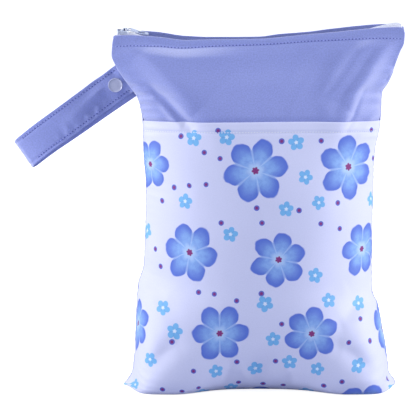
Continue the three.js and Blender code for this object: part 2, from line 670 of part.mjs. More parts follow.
// Snap: turned pieces on one line square to the strap, each given by a profile of radius and depth.
function snapPiece(profile, depth) {
  const points = profile.map(([radius, rise]) => new THREE.Vector2(radius, rise));
  const centre = STRAP_START.clone().addScaledVector(STRAP_RUN, SNAP_FROM_SEAM);
  return new THREE.LatheGeometry(points, 24).translate(centre.x, depth, centre.z);
}

// The section of a cap, as shares of its radius and its height: flat against the cloth, domed away from it.
const CAP_SECTION = [
  { radius: 0, rise: 0 },
  { radius: 0.94, rise: 0 },
  { radius: 1, rise: 0.3 },
  { radius: 0.97, rise: 0.62 },
  { radius: 0.86, rise: 0.86 },
  { radius: 0.66, rise: 1 },
  { radius: 0, rise: 1 },
];

// The socket and the stud, as shares of the body's radius and of the grip: the stud's head goes into the socket.
const SOCKET_SECTION = [
  { radius: 0, rise: 0 },
  { radius: 1, rise: 0 },
  { radius: 1, rise: 0.6 },
  { radius: 0.86, rise: 1 },
  { radius: 0.45, rise: 1 },
  { radius: 0.45, rise: 0.4 },
  { radius: 0, rise: 0.4 },
];
const STUD_SECTION = [
  { radius: 0, rise: 1.3 },
  { radius: 0.36, rise: 1.3 },
  { radius: 0.36, rise: 1 },
  { radius: 0.86, rise: 1 },
  { radius: 1, rise: 0.6 },
  { radius: 1, rise: 0 },
  { radius: 0, rise: 0 },
];

function sectionRows(section, radius, rise) {
  return section.map((row) => [row.radius * radius, row.rise * rise]);
}

// A cap domed towards the front or the back.
function capProfile(face) {
  const rows = sectionRows(CAP_SECTION, SNAP_DIAMETER / 2, face * SNAP_CAP_HEIGHT);
  return face === BACK ? rows : rows.reverse();
}

const LAYER_FACE = STRAP_CLOTH / 2 + CLEARANCE;
const snapCap = () => snapPiece(capProfile(FRONT), -LAYER_FACE);
const snapBackCap = () => snapPiece(capProfile(BACK), LAYER_STEP + LAYER_FACE);
const SNAP_BODY_RADIUS = SNAP_BODY_DIAMETER / 2;
const snapSocket = () => snapPiece(sectionRows(SOCKET_SECTION, SNAP_BODY_RADIUS, SNAP_GRIP), LAYER_FACE);
const snapStud = () =>
  snapPiece(sectionRows(STUD_SECTION, SNAP_BODY_RADIUS, -SNAP_GRIP), LAYER_STEP - LAYER_FACE);

const periwinkle = new THREE.MeshStandardMaterial({ color: 0x8f97d6, roughness: 0.75, metalness: 0 });
const printCloth = new THREE.MeshStandardMaterial({ color: 0xdfe2f6, roughness: 0.7, metalness: 0 });
const tapeWhite = new THREE.MeshStandardMaterial({ color: 0xf2f3f8, roughness: 0.8, metalness: 0 });
const snapPlastic = new THREE.MeshStandardMaterial({ color: 0xc9cde0, roughness: 0.3, metalness: 0 });
const paintedMetal = new THREE.MeshStandardMaterial({ color: 0xdde1ec, roughness: 0.35, metalness: 0.3 });

const bag = new THREE.Group();
bag.name = "wet_bag";

function addPiece(name, geometry, material) {
  const mesh = new THREE.Mesh(geometry, material);
  mesh.name = name;
  bag.add(mesh);
}

addPiece("front_yoke", frontYoke(), periwinkle);
addPiece("pocket_panel", pocketPanel(), printCloth);
addPiece("back_panel", backPanel(), periwinkle);
addPiece("zipper_tape_front", tapeFront(), tapeWhite);
addPiece("zipper_tape_back", tapeBack(), tapeWhite);
addPiece("zipper_coil", zipCoil(), tapeWhite);
addPiece("zipper_end_stop", endStop(), snapPlastic);
addPiece("slider_body", sliderBody(), paintedMetal);
addPiece("pull_tab", pullTab(), paintedMetal);
addPiece("strap_loop", strapLoop(), periwinkle);
addPiece("snap_cap", snapCap(), snapPlastic);
addPiece("snap_socket", snapSocket(), snapPlastic);
addPiece("snap_stud", snapStud(), snapPlastic);
addPiece("snap_back_cap", snapBackCap(), snapPlastic);

export default bag;
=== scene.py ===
# Studio model of a filled cloth wet bag: printed pocket panel, plain yoke and back, zip along the top, wrist strap
# with a snap. Metres, +Z up, the front faces -Y, and the origin is under the middle of the base.
import itertools
import logging
import math
from dataclasses import dataclass
from enum import Enum

import bpy
import numpy as np
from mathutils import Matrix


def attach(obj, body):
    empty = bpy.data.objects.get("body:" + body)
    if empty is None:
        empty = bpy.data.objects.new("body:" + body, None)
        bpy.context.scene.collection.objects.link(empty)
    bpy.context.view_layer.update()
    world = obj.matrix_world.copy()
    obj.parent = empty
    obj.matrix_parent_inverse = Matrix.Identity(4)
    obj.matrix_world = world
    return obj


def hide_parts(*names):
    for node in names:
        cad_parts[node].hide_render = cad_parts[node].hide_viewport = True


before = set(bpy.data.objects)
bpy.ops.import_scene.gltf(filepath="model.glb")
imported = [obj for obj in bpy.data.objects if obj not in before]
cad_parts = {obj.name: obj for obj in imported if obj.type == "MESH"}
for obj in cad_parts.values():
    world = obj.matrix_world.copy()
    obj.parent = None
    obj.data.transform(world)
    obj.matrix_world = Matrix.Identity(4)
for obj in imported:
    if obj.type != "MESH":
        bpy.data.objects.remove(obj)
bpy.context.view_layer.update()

LOG = logging.getLogger("wet_bag")
MM = 0.001
Array = np.ndarray
Mesh = tuple[np.ndarray, list]
Socket = bpy.types.NodeSocket
Node = bpy.types.Node
Material = bpy.types.Material
Piece = bpy.types.Object


class Face(Enum):
    """The two faces of the bag, by the way that each looks along Y."""

    FRONT = -1
    BACK = 1


def smoothstep(value: Array, low: float, high: float) -> Array:
    """Rises from 0 at low to 1 at high as 3t^2 - 2t^3, with t the share of the way."""
    t = np.clip((value - low) / (high - low), 0.0, 1.0)
    return t * t * (3 - 2 * t)


def lerp(start: Array, end: Array, share: Array) -> Array:
    """Runs straight from start at share 0 to end at share 1."""
    return start + (end - start) * share


def follow(table: tuple, value: Array) -> Array:
    """Reads a smooth curve through rows of (place, amount).

    Each span is a cubic with the rows' amounts at its ends. The slope at a row is the harmonic mean of the slopes
    on its two sides, and 0 where they differ in sign, so that the curve never overshoots its rows.

    Args:
        table: Rows of (place, amount), places rising.
        value: Places to read.

    Returns:
        The amount at each place, held level past the ends.
    """
    place, amount = np.asarray(table, float).T
    width = np.diff(place)
    rise = np.diff(amount) / width
    product = rise[:-1] * rise[1:]
    total = rise[:-1] + rise[1:]
    slope = np.zeros_like(amount)
    slope[1:-1] = np.where(product > 0, 2 * product / np.where(total == 0, 1, total), 0)
    at = np.clip(value, place[0], place[-1])
    i = np.clip(np.searchsorted(place, at, side="left") - 1, 0, len(width) - 1)
    t = (at - place[i]) / width[i]
    s = 1 - t
    return (
        amount[i] * s * s * (1 + 2 * t)
        + amount[i + 1] * t * t * (1 + 2 * s)
        + slope[i] * width[i] * t * s * s
        - slope[i + 1] * width[i] * s * t * t
    )


def length_of(vectors: Array) -> Array:
    """Length of each vector, kept as a last axis of one."""
    return np.linalg.norm(vectors, axis=-1, keepdims=True)


def unit(vectors: Array) -> Array:
    """Each vector divided by its length."""
    return vectors / np.maximum(length_of(vectors), 1e-12)


# ---------------------------------------------------------------- meshes


def grid_quads(rows: int, columns: int) -> Array:
    """Four-sided faces of a grid of points that run along each row first.

    Args:
        rows: Number of rows of points.
        columns: Number of points in a row.

    Returns:
        An array of point numbers, four to a face.
    """
    first = (np.arange(rows - 1)[:, None] * columns + np.arange(columns - 1)).ravel()
    return np.stack([first, first + 1, first + columns + 1, first + columns], axis=1)


def folded_wall(outer: Array, inner: Array, arc_steps: int = 6) -> Mesh:
    """A closed cloth wall whose top edge is rounded over from its outer to its inner surface.

    The rows run up the outer surface, round a half circle whose diameter is the wall, and down the inner one:
    centre + radius * (cos(a) * across the wall + sin(a) * up the cloth), with a from 0 to a half turn. The bottom
    and the two sides are closed by a rim between the surfaces.

    Args:
        outer: Points of the outer surface, rows by columns by three.
        inner: Points of the inner surface on the same grid.
        arc_steps: Number of steps round the top edge.

    Returns:
        The points, and the faces as tuples of point numbers.
    """
    rows, columns = outer.shape[:2]
    middle = (outer[-1] + inner[-1]) / 2
    across = outer[-1] - middle
    up = unit(outer[-1] - outer[-2]) * length_of(across)
    turn = np.linspace(0, math.pi, arc_steps + 1)[1:-1, None, None]
    arc = middle + across * np.cos(turn) + up * np.sin(turn)
    sheet = np.concatenate([outer, arc, inner[::-1]])
    quads = grid_quads(len(sheet), columns)
    last = len(sheet) - 1
    low = np.arange(rows - 1)
    rims = []
    for column, turned in ((0, False), (columns - 1, True)):
        a, b = low * columns + column, (low + 1) * columns + column
        c, d = (last - low - 1) * columns + column, (last - low) * columns + column
        rims.append(np.stack([b, a, d, c] if turned else [a, b, c, d], axis=1))
    k = np.arange(columns - 1)
    rims.append(np.stack([k + 1, k, last * columns + k, last * columns + k + 1], axis=1))
    faces = [tuple(f) for f in np.concatenate([quads, *rims]).tolist()]
    lid = np.arange(rows - 1, rows + arc_steps) * columns
    faces.append(tuple(lid.tolist()))
    faces.append(tuple((lid[::-1] + columns - 1).tolist()))
    return sheet.reshape(-1, 3), faces


def rings(points: Array, turned: bool = False, closed: bool = False) -> Mesh:
    """A skin over closed rings of points, with a flat cap at each end.

    Args:
        points: Rings by points by three.
        turned: True to turn every face over. Which way they look depends on the way that the rings run.
        closed: True where the last ring joins the first, and there are no caps.

    Returns:
        The points and the faces.
    """
    rows, columns = points.shape[:2]
    j = np.arange(rows if closed else rows - 1)[:, None]
    k = np.arange(columns)
    here, after, beside = j * columns, (j + 1) % rows * columns, (k + 1) % columns
    faces = np.stack([here + k, here + beside, after + beside, after + k], axis=-1).reshape(-1, 4).tolist()
    if not closed:
        faces += [list(range(columns))[::-1], list(range((rows - 1) * columns, rows * columns))]
    return points.reshape(-1, 3), [(f[0], *f[:0:-1]) if turned else tuple(f) for f in faces]


def tube(path: Array, radius: Array, sides: int, closed: bool = False) -> Mesh:
    """A round bar along a path: path + radius * (cos(a) * normal + sin(a) * binormal).

    The normal is square to the path and leans towards a fixed side, so that it doesn't twist.

    Args:
        path: Points of the middle line.
        radius: Radius at each of them.
        sides: Number of points round the bar.
        closed: True where the last point joins the first.

    Returns:
        The points and the faces.
    """
    if closed:
        way = unit(np.roll(path, -1, axis=0) - np.roll(path, 1, axis=0))
    else:
        way = unit(np.gradient(path, axis=0))
    lean = np.array([0.0, 1.0, 0.0]) if abs(way[:, 1]).mean() < 0.6 else np.array([0.0, 0.0, 1.0])
    normal = unit(np.cross(way, lean))
    other = np.cross(way, normal)
    a = np.linspace(0, 2 * math.pi, sides, endpoint=False)[None, :, None]
    ring = path[:, None] + np.broadcast_to(radius, len(path))[:, None, None] * (
        np.cos(a) * normal[:, None] + np.sin(a) * other[:, None]
    )
    return rings(ring, closed=closed)


SWEPT_SIDES = 20


def drawn(value: Array, power: float) -> Array:
    """A sine or a cosine drawn towards 1 by a power."""
    return np.sign(value) * np.abs(value) ** (2 / power)


def rounded_block(centre: Array, size: tuple, power: float, steps: int = 20) -> Mesh:
    """A block with rounded edges: |x|^p + |y|^p + |z|^p = 1, scaled to its size.

    Args:
        centre: Its middle.
        size: Its three sizes.
        power: The power p. A high one gives small roundings.
        steps: Steps over half a turn.

    Returns:
        The points and the faces.
    """
    down = np.linspace(0, math.pi, steps + 1)[1:-1, None]
    turn = np.linspace(0, 2 * math.pi, 2 * steps, endpoint=False)[None, :]
    level = drawn(np.sin(down), power)
    height = drawn(np.cos(down), power) + 0 * turn
    ball = np.stack([level * drawn(np.cos(turn), power), level * drawn(np.sin(turn), power), height], axis=-1)
    rows, columns = ball.shape[:2]
    points, faces = rings(ball, turned=True)
    points = np.concatenate([points, [[0, 0, 1]], [[0, 0, -1]]]) * np.asarray(size) / 2 + centre
    top, low = rows * columns, rows * columns + 1
    ring = (rows - 1) * columns
    faces = faces[:-2] + [(top, i, (i + 1) % columns) for i in range(columns)]
    faces += [(low, ring + (i + 1) % columns, ring + i) for i in range(columns)]
    return points, faces


def swept(path: Array, across: Array, wide: Array, thick: Array, power: float = 3.0) -> Mesh:
    """A rounded bar along a path: path + wide / 2 * c * across + thick / 2 * s * normal. Its faces look inwards.

    c and s are a cosine and a sine drawn towards 1 by the power, and the normal is square to the path and to across.

    Args:
        path: Points of the middle line.
        across: The way of the section's width at each of them.
        wide: Width at each of them.
        thick: Thickness at each of them.
        power: Power of the section. A high one gives small roundings.

    Returns:
        The points and the faces.
    """
    way = unit(np.gradient(path, axis=0))
    normal = unit(np.cross(way, across))
    a = np.linspace(0, 2 * math.pi, SWEPT_SIDES, endpoint=False)[None, :, None]
    sideways = (wide / 2)[:, None, None] * drawn(np.cos(a), power) * across[:, None]
    upwards = (thick / 2)[:, None, None] * drawn(np.sin(a), power) * normal[:, None]
    return rings(path[:, None] + sideways + upwards, turned=True)


def joined(parts: list) -> Mesh:
    """Several (points, faces) pairs as one, with the faces' point numbers moved on.

    Args:
        parts: The pairs, in order.

    Returns:
        The points and the faces.
    """
    points, faces, base = [], [], 0
    for some, those in parts:
        points.append(some)
        faces.extend(tuple(i + base for i in f) for f in those)
        base += len(some)
    return np.concatenate(points), faces


def make_piece(
    name: str,
    points: Array,
    faces: list,
    material: Material,
    body: str = "bag",
    slot: str | None = None,
    nodes: tuple = (),
    uv: Array | None = None,
) -> Piece:
    """Makes one piece of the object, on its body, with its finish.

    Args:
        name: Name of the piece.
        points: Its points, in metres in the shared frame.
        faces: Its faces as tuples of point numbers.
        material: Its finish.
        body: Body that it moves with.
        slot: Material slot of the record that its finish belongs to. It is not used.
        nodes: CAD nodes that it stands for.
        uv: Place on the flat cloth of each point, in metres.

    Returns:
        The new object.
    """
    mesh = bpy.data.meshes.new(name)
    mesh.from_pydata(points.tolist(), [], faces)
    mesh.polygons.foreach_set("use_smooth", np.full(len(mesh.polygons), True))
    if uv is not None:
        corner = np.empty(len(mesh.loops), dtype=np.int32)
        mesh.loops.foreach_get("vertex_index", corner)
        layer = mesh.uv_layers.new(name="cloth")
        layer.uv.foreach_set("vector", uv[corner].astype(np.float32).ravel())
    mesh.update()
    mesh.materials.append(material)
    piece = bpy.data.objects.new(name, mesh)
    bpy.context.scene.collection.objects.link(piece)
    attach(piece, body)
    if nodes:
        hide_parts(*nodes)
    LOG.info("%s: %d points, %d faces", name, len(mesh.vertices), len(mesh.polygons))
    return piece


# ---------------------------------------------------------------- finishes


def linear(red: int, green: int, blue: int) -> tuple:
    """A display colour, 0 to 255, as the linear colour that shaders use.

    Args:
        red: Red, 0 to 255.
        green: Green, 0 to 255.
        blue: Blue, 0 to 255.

    Returns:
        The linear red, green and blue, and an alpha of 1.
    """
    share = np.array([red, green, blue]) / 255
    value = np.where(share <= 0.04045, share / 12.92, ((share + 0.055) / 1.055) ** 2.4)
    return (*value.tolist(), 1.0)


@dataclass
class Desk:
    """Places and joins shader nodes in one tree."""

    tree: bpy.types.NodeTree

    def put(self, kind: str, **inputs: object) -> Node:
        """Adds a node. Names that are its own settings are set, and the others are its sockets.

        Args:
            kind: Type of the node.
            inputs: Settings and socket values by name.

        Returns:
            The new node.
        """
        node = self.tree.nodes.new(kind)
        for key, value in inputs.items():
            if hasattr(node, key):
                setattr(node, key, value)
            else:
                self.feed(node.inputs[key.replace("_", " ")], value)
        return node

    def feed(self, socket: Socket, value: object) -> None:
        """Joins a socket to another, or sets its value.

        Args:
            socket: The input socket.
            value: An output socket or a plain value.
        """
        if isinstance(value, Socket):
            self.tree.links.new(value, socket)
        else:
            socket.default_value = value

    def math(self, operation: str, *values: object) -> Socket:
        """One step of arithmetic on up to three values.

        Args:
            operation: Name of the arithmetic.
            values: Sockets or numbers.

        Returns:
            The result.
        """
        node = self.tree.nodes.new("ShaderNodeMath")
        node.operation = operation
        for socket, value in zip(node.inputs, values):
            self.feed(socket, value)
        return node.outputs[0]

    def ramp(self, value: Socket, low: float, high: float, start: float = 0.0, end: float = 1.0) -> Socket:
        """Runs smoothly from start where value is low to end where it is high.

        Args:
            value: What is read.
            low: Where the change starts.
            high: Where it ends.
            start: Result at low.
            end: Result at high.

        Returns:
            The result.
        """
        node = self.tree.nodes.new("ShaderNodeMapRange")
        node.interpolation_type = "SMOOTHSTEP"
        for socket, given in zip(node.inputs, (value, low, high, start, end)):
            self.feed(socket, given)
        return node.outputs[0]

    def mix(self, share: object, first: object, second: object, blend: str = "MIX") -> Socket:
        """Mixes two colours by a share.

        Args:
            share: Share of the second colour.
            first: The first colour.
            second: The second colour.
            blend: How they are mixed.

        Returns:
            The mixed colour.
        """
        node = self.tree.nodes.new("ShaderNodeMix")
        node.data_type = "RGBA"
        node.blend_type = blend
        self.feed(node.inputs[0], share)
        self.feed(node.inputs[6], first)
        self.feed(node.inputs[7], second)
        return node.outputs[2]

    def grey(self, value: Socket) -> Socket:
        """A grey colour of one value, to multiply by."""
        return self.put("ShaderNodeCombineColor", Red=value, Green=value, Blue=value).outputs[0]

    def noise(self, vector: Socket, scale: float, detail: float = 2.0, rough: float = 0.5) -> Socket:
        """Smooth noise about one half."""
        node = self.put("ShaderNodeTexNoise", Vector=vector, Scale=scale, Detail=detail, Roughness=rough)
        return node.outputs["Fac"]


def new_group(name: str, inputs: dict, outputs: dict) -> tuple[bpy.types.NodeTree, Desk, dict, Node]:
    """Starts a shader node group.

    Args:
        name: Name of the group.
        inputs: Socket type and default value by input name.
        outputs: Socket type by output name.

    Returns:
        The group, a desk on it, its input sockets by name, and its output node.
    """
    group = bpy.data.node_groups.new(name, "ShaderNodeTree")
    for key, (kind, value) in inputs.items():
        socket = group.interface.new_socket(key, in_out="INPUT", socket_type=kind)
        if value is not None:
            socket.default_value = value
    for key, kind in outputs.items():
        group.interface.new_socket(key, in_out="OUTPUT", socket_type=kind)
    desk = Desk(group)
    source = group.nodes.new("NodeGroupInput")
    return group, desk, {s.name: s for s in source.outputs if s.name}, group.nodes.new("NodeGroupOutput")


FLOAT, VECTOR = "NodeSocketFloat", "NodeSocketVector"


def weave_group() -> bpy.types.NodeTree:
    """Plain weave on the flat cloth: warp and weft rise in turn, as sin(pi u / pitch) * sin(pi v / pitch), with the
    threads' own unevenness. Gives the height of the threads, a shade that is darker between them, a slow mottle and
    a grain of 1 to 2 mm.

    Returns:
        The group.
    """
    group, desk, given, out = new_group(
        "cloth_weave",
        {"Vector": (VECTOR, None), "Pitch": (FLOAT, 0.0005), "Slub": (FLOAT, 0.4)},
        {"Height": FLOAT, "Shade": FLOAT, "Mottle": FLOAT, "Grain": FLOAT},
    )
    split = desk.put("ShaderNodeSeparateXYZ", Vector=given["Vector"])
    angle = [
        desk.math("SINE", desk.math("DIVIDE", desk.math("MULTIPLY", split.outputs[i], math.pi), given["Pitch"]))
        for i in (0, 1)
    ]
    cross = desk.math("MULTIPLY", angle[0], angle[1])
    slub = desk.math("MULTIPLY", desk.math("SUBTRACT", desk.noise(given["Vector"], 900.0, 2.0), 0.5), given["Slub"])
    height = desk.math("ADD", desk.math("MULTIPLY_ADD", cross, 0.5, 0.5), slub)
    desk.feed(out.inputs["Height"], height)
    desk.feed(out.inputs["Shade"], desk.ramp(height, 0.0, 0.7, 0.0, 1.0))
    desk.feed(out.inputs["Mottle"], desk.noise(given["Vector"], 26.0, 4.0, 0.6))
    desk.feed(out.inputs["Grain"], desk.ramp(desk.noise(given["Vector"], 620.0, 3.0, 0.75), 0.3, 0.7, 0.0, 1.0))
    return group


def blossom_group() -> bpy.types.NodeTree:
    """Flowers on a shifted lattice of the flat cloth.

    Each cell has one flower, moved, turned and sized by its own random numbers. Its edge lies where the distance
    from the middle is radius * (1 - depth * (1 - |cos(petals * angle / 2)|^0.7)). Inside is 1 in the flower, Reach
    runs from 0 in the middle to 1 at the edge, Rib is 1 along the line between two petals, and Chance is the cell's
    random number. Middle is the place of the flower's middle, and Beyond the distance past its size, in metres.

    Returns:
        The group.
    """
    group, desk, given, out = new_group(
        "blossom",
        {
            "Vector": (VECTOR, None),
            "Pitch U": (FLOAT, 0.1),
            "Pitch V": (FLOAT, 0.1),
            "Shift": (FLOAT, 0.33),
            "Radius": (FLOAT, 0.03),
            "Petals": (FLOAT, 6.0),
            "Depth": (FLOAT, 0.3),
            "Wander": (FLOAT, 0.2),
            "Seed": (FLOAT, 1.0),
        },
        {"Inside": FLOAT, "Reach": FLOAT, "Rib": FLOAT, "Chance": FLOAT, "Beyond": FLOAT, "Middle": VECTOR},
    )
    split = desk.put("ShaderNodeSeparateXYZ", Vector=given["Vector"])
    v = desk.math("DIVIDE", split.outputs[1], given["Pitch V"])
    row = desk.math("FLOOR", v)
    shifted = desk.math("MULTIPLY", row, given["Shift"])
    u = desk.math("ADD", desk.math("DIVIDE", split.outputs[0], given["Pitch U"]), shifted)
    column = desk.math("FLOOR", u)
    cell = desk.put("ShaderNodeCombineXYZ", X=column, Y=row, Z=given["Seed"]).outputs[0]
    random = desk.put("ShaderNodeTexWhiteNoise", Vector=cell)
    draw = desk.put("ShaderNodeSeparateColor", Color=random.outputs["Color"])
    places = []
    for socket, floor, pitch, chance in ((u, column, "Pitch U", 0), (v, row, "Pitch V", 1)):
        moved = desk.math("MULTIPLY", desk.math("SUBTRACT", draw.outputs[chance], 0.5), given["Wander"])
        middle = desk.math("ADD", moved, 0.5)
        offset = desk.math("SUBTRACT", desk.math("SUBTRACT", socket, floor), middle)
        places.append(desk.math("MULTIPLY", offset, given[pitch]))
    squares = [desk.math("MULTIPLY", place, place) for place in places]
    distance = desk.math("SQRT", desk.math("ADD", *squares))
    turned = desk.math("MULTIPLY", draw.outputs[2], 2 * math.pi)
    turn = desk.math("ADD", desk.math("ARCTAN2", places[1], places[0]), turned)
    half_petals = desk.math("MULTIPLY", desk.math("MULTIPLY", turn, given["Petals"]), 0.5)
    wave = desk.math("ABSOLUTE", desk.math("COSINE", half_petals))
    dip = desk.math("MULTIPLY", desk.math("SUBTRACT", 1.0, desk.math("POWER", wave, 0.7)), given["Depth"])
    size = desk.math("MULTIPLY", given["Radius"], desk.math("MULTIPLY_ADD", random.outputs["Value"], 0.24, 0.84))
    wobble = desk.math("MULTIPLY_ADD", desk.noise(given["Vector"], 55.0, 2.0), 0.26, 0.87)
    edge = desk.math("MULTIPLY", desk.math("MULTIPLY", size, wobble), desk.math("SUBTRACT", 1.0, dip))
    reach = desk.math("DIVIDE", distance, edge)
    desk.feed(out.inputs["Inside"], desk.ramp(reach, 0.97, 1.03, 1.0, 0.0))
    desk.feed(out.inputs["Reach"], reach)
    desk.feed(out.inputs["Rib"], desk.ramp(wave, 0.06, 0.3, 1.0, 0.0))
    desk.feed(out.inputs["Chance"], draw.outputs[0])
    desk.feed(out.inputs["Beyond"], desk.math("SUBTRACT", distance, size))
    middle_u = desk.math("SUBTRACT", split.outputs[0], places[0])
    middle_v = desk.math("SUBTRACT", split.outputs[1], places[1])
    desk.feed(out.inputs["Middle"], desk.put("ShaderNodeCombineXYZ", X=middle_u, Y=middle_v).outputs[0])
    return group


def new_material(name: str) -> tuple[Material, Desk, Node]:
    """An empty material with its main shader.

    Args:
        name: Name of the material.

    Returns:
        The material, a desk on its nodes, and its Principled shader.
    """
    material = bpy.data.materials.new(name)
    material.use_nodes = True
    desk = Desk(material.node_tree)
    return material, desk, material.node_tree.nodes["Principled BSDF"]


@dataclass(frozen=True)
class ClothFinish:
    """Plain woven cloth: its colour, a deeper tone that a slow mottle mixes in, the weave, a soft sheen, and a painted
    sheen that turns the colour paler where the cloth is seen at a slant.
    """

    name: str
    colour: tuple
    deep: tuple
    pitch: float = 0.00055
    bump: float = 0.12
    sheen: float = 0.9
    roughness: float = 0.5
    gloss: float = 0.7
    # The next two fields give a painted sheen: its share, and the pale colour that the cloth turns towards where it is
    # seen at a slant.
    painted_sheen: float = 0.32
    pale: tuple = linear(206, 210, 240)

    def make(self, groups: dict) -> Material:
        """Builds the material on the piece's own flat cloth coordinates.

        Args:
            groups: The shared node groups by name.

        Returns:
            The material.
        """
        material, desk, shader = new_material(self.name)
        flat = desk.put("ShaderNodeUVMap", uv_map="cloth").outputs[0]
        weave = desk.put("ShaderNodeGroup", node_tree=groups["weave"], Vector=flat, Pitch=self.pitch)
        tone = desk.mix(desk.ramp(weave.outputs["Mottle"], 0.25, 0.75, 0.0, 0.35), self.colour, self.deep)
        # Painted sheen: the colour is mixed towards the pale colour where the cloth faces away from the camera.
        slant = desk.put("ShaderNodeLayerWeight", Blend=0.5).outputs["Facing"]
        tone = desk.mix(desk.ramp(slant, 0.1, 0.45, 0.0, self.painted_sheen), tone, self.pale)
        thread = desk.math("MULTIPLY_ADD", weave.outputs["Shade"], 0.10, 0.81)
        thread = desk.math("MULTIPLY_ADD", weave.outputs["Grain"], 0.24, thread)
        desk.feed(shader.inputs["Base Color"], desk.mix(1.0, tone, desk.grey(thread), "MULTIPLY"))
        bump = desk.put("ShaderNodeBump", Strength=self.bump, Distance=0.0003, Height=weave.outputs["Height"])
        desk.feed(shader.inputs["Normal"], bump.outputs[0])
        rough = desk.ramp(weave.outputs["Mottle"], 0.2, 0.8, self.roughness - 0.05, self.roughness + 0.08)
        desk.feed(shader.inputs["Roughness"], rough)
        shader.inputs["Specular IOR Level"].default_value = self.gloss
        shader.inputs["Sheen Weight"].default_value = self.sheen
        shader.inputs["Sheen Roughness"].default_value = 0.5
        return material


@dataclass(frozen=True)
class PrintFinish:
    """The pocket's cloth: a pale ground with scattered blooms, small blossoms and dots."""

    name: str
    ground: tuple
    ground_deep: tuple
    bloom: tuple
    bloom_deep: tuple
    bloom_pale: tuple
    blossom: tuple
    blossom_deep: tuple
    blossom_eye: tuple
    dot: tuple
    blooms: tuple = (0.099, 0.090, 0.37, 0.0315, 6.0, 0.36, 0.24, 3.0)
    blossoms: tuple = (0.036, 0.034, 0.41, 0.0082, 5.0, 0.42, 0.45, 11.0)
    berries: tuple = (0.021, 0.024, 0.29, 0.0028, 1.0, 0.0, 0.6, 23.0)
    pitch: float = 0.00055
    bump: float = 0.1
    sheen: float = 0.15

    def make(self, groups: dict) -> Material:
        """Builds the print on the flat cloth.

        Args:
            groups: The shared node groups by name.

        Returns:
            The material.
        """
        material, desk, shader = new_material(self.name)
        flat = desk.put("ShaderNodeUVMap", uv_map="cloth").outputs[0]
        weave = desk.put("ShaderNodeGroup", node_tree=groups["weave"], Vector=flat, Pitch=self.pitch)

        def flowers(place: Socket, design: tuple) -> Node:
            """One layer of flowers with its own lattice, read at a place.

            Args:
                place: The place on the cloth.
                design: Pitches, shift, radius, petals, depth, wander and seed.

            Returns:
                The node of the group.
            """
            names = ("Pitch_U", "Pitch_V", "Shift", "Radius", "Petals", "Depth", "Wander", "Seed")
            values = dict(zip(names, design))
            return desk.put("ShaderNodeGroup", node_tree=groups["blossom"], Vector=place, **values)

        def whole(layer: Node, least: float, *others: tuple) -> Socket:
            """The motifs of one layer whose chance is high enough, and whose middle lies clear of other layers.

            Args:
                layer: The layer of flowers.
                least: Least chance of a motif that is shown.
                others: Designs that it keeps clear of, each with the room between them.

            Returns:
                1 inside the motifs that are shown.
            """
            chosen = desk.math("GREATER_THAN", layer.outputs["Chance"], least)
            shown = desk.math("MULTIPLY", layer.outputs["Inside"], chosen)
            for design, room in others:
                there = flowers(layer.outputs["Middle"], design).outputs["Beyond"]
                shown = desk.math("MULTIPLY", shown, desk.math("GREATER_THAN", there, room))
            return shown

        big = flowers(flat, self.blooms)
        small = flowers(flat, self.blossoms)
        dots = flowers(flat, self.berries)
        colour = desk.mix(desk.ramp(weave.outputs["Mottle"], 0.3, 0.7, 0.0, 0.25), self.ground, self.ground_deep)
        dotted = whole(dots, 0.45, (self.blooms, 0.004), (self.blossoms, 0.002))
        berry = desk.mix(desk.ramp(dots.outputs["Reach"], 0.3, 0.9), self.dot, self.bloom_deep)
        colour = desk.mix(dotted, colour, berry)
        eye = desk.ramp(small.outputs["Reach"], 0.15, 0.32, 1.0, 0.0)
        blossom = desk.mix(eye, self.blossom, self.blossom_eye)
        blossom = desk.mix(desk.math("MULTIPLY", small.outputs["Rib"], 0.45), blossom, self.blossom_deep)
        colour = desk.mix(whole(small, 0.22, (self.blooms, 0.008)), colour, blossom)
        streak = desk.noise(flat, 160.0, 3.0, 0.7)
        petal = desk.mix(desk.ramp(big.outputs["Reach"], 0.42, 0.98), self.bloom, self.bloom_deep)
        petal = desk.mix(desk.ramp(streak, 0.35, 0.7, 0.0, 0.4), petal, self.bloom_deep)
        petal = desk.mix(desk.ramp(big.outputs["Reach"], 0.12, 0.4, 0.85, 0.0), petal, self.bloom_pale)
        petal = desk.mix(desk.math("MULTIPLY", big.outputs["Rib"], 0.55), petal, self.bloom_pale)
        petal = desk.mix(desk.ramp(big.outputs["Reach"], 0.1, 0.14, 1.0, 0.0), petal, self.dot)
        colour = desk.mix(big.outputs["Inside"], colour, petal)
        thread = desk.math("MULTIPLY_ADD", weave.outputs["Shade"], 0.06, 0.92)
        thread = desk.math("MULTIPLY_ADD", weave.outputs["Grain"], 0.04, thread)
        desk.feed(shader.inputs["Base Color"], desk.mix(1.0, colour, desk.grey(thread), "MULTIPLY"))
        bump = desk.put("ShaderNodeBump", Strength=self.bump, Distance=0.0003, Height=weave.outputs["Height"])
        desk.feed(shader.inputs["Normal"], bump.outputs[0])
        desk.feed(shader.inputs["Roughness"], desk.ramp(weave.outputs["Mottle"], 0.2, 0.8, 0.55, 0.68))
        shader.inputs["Sheen Weight"].default_value = self.sheen
        shader.inputs["Sheen Roughness"].default_value = 0.4
        return material


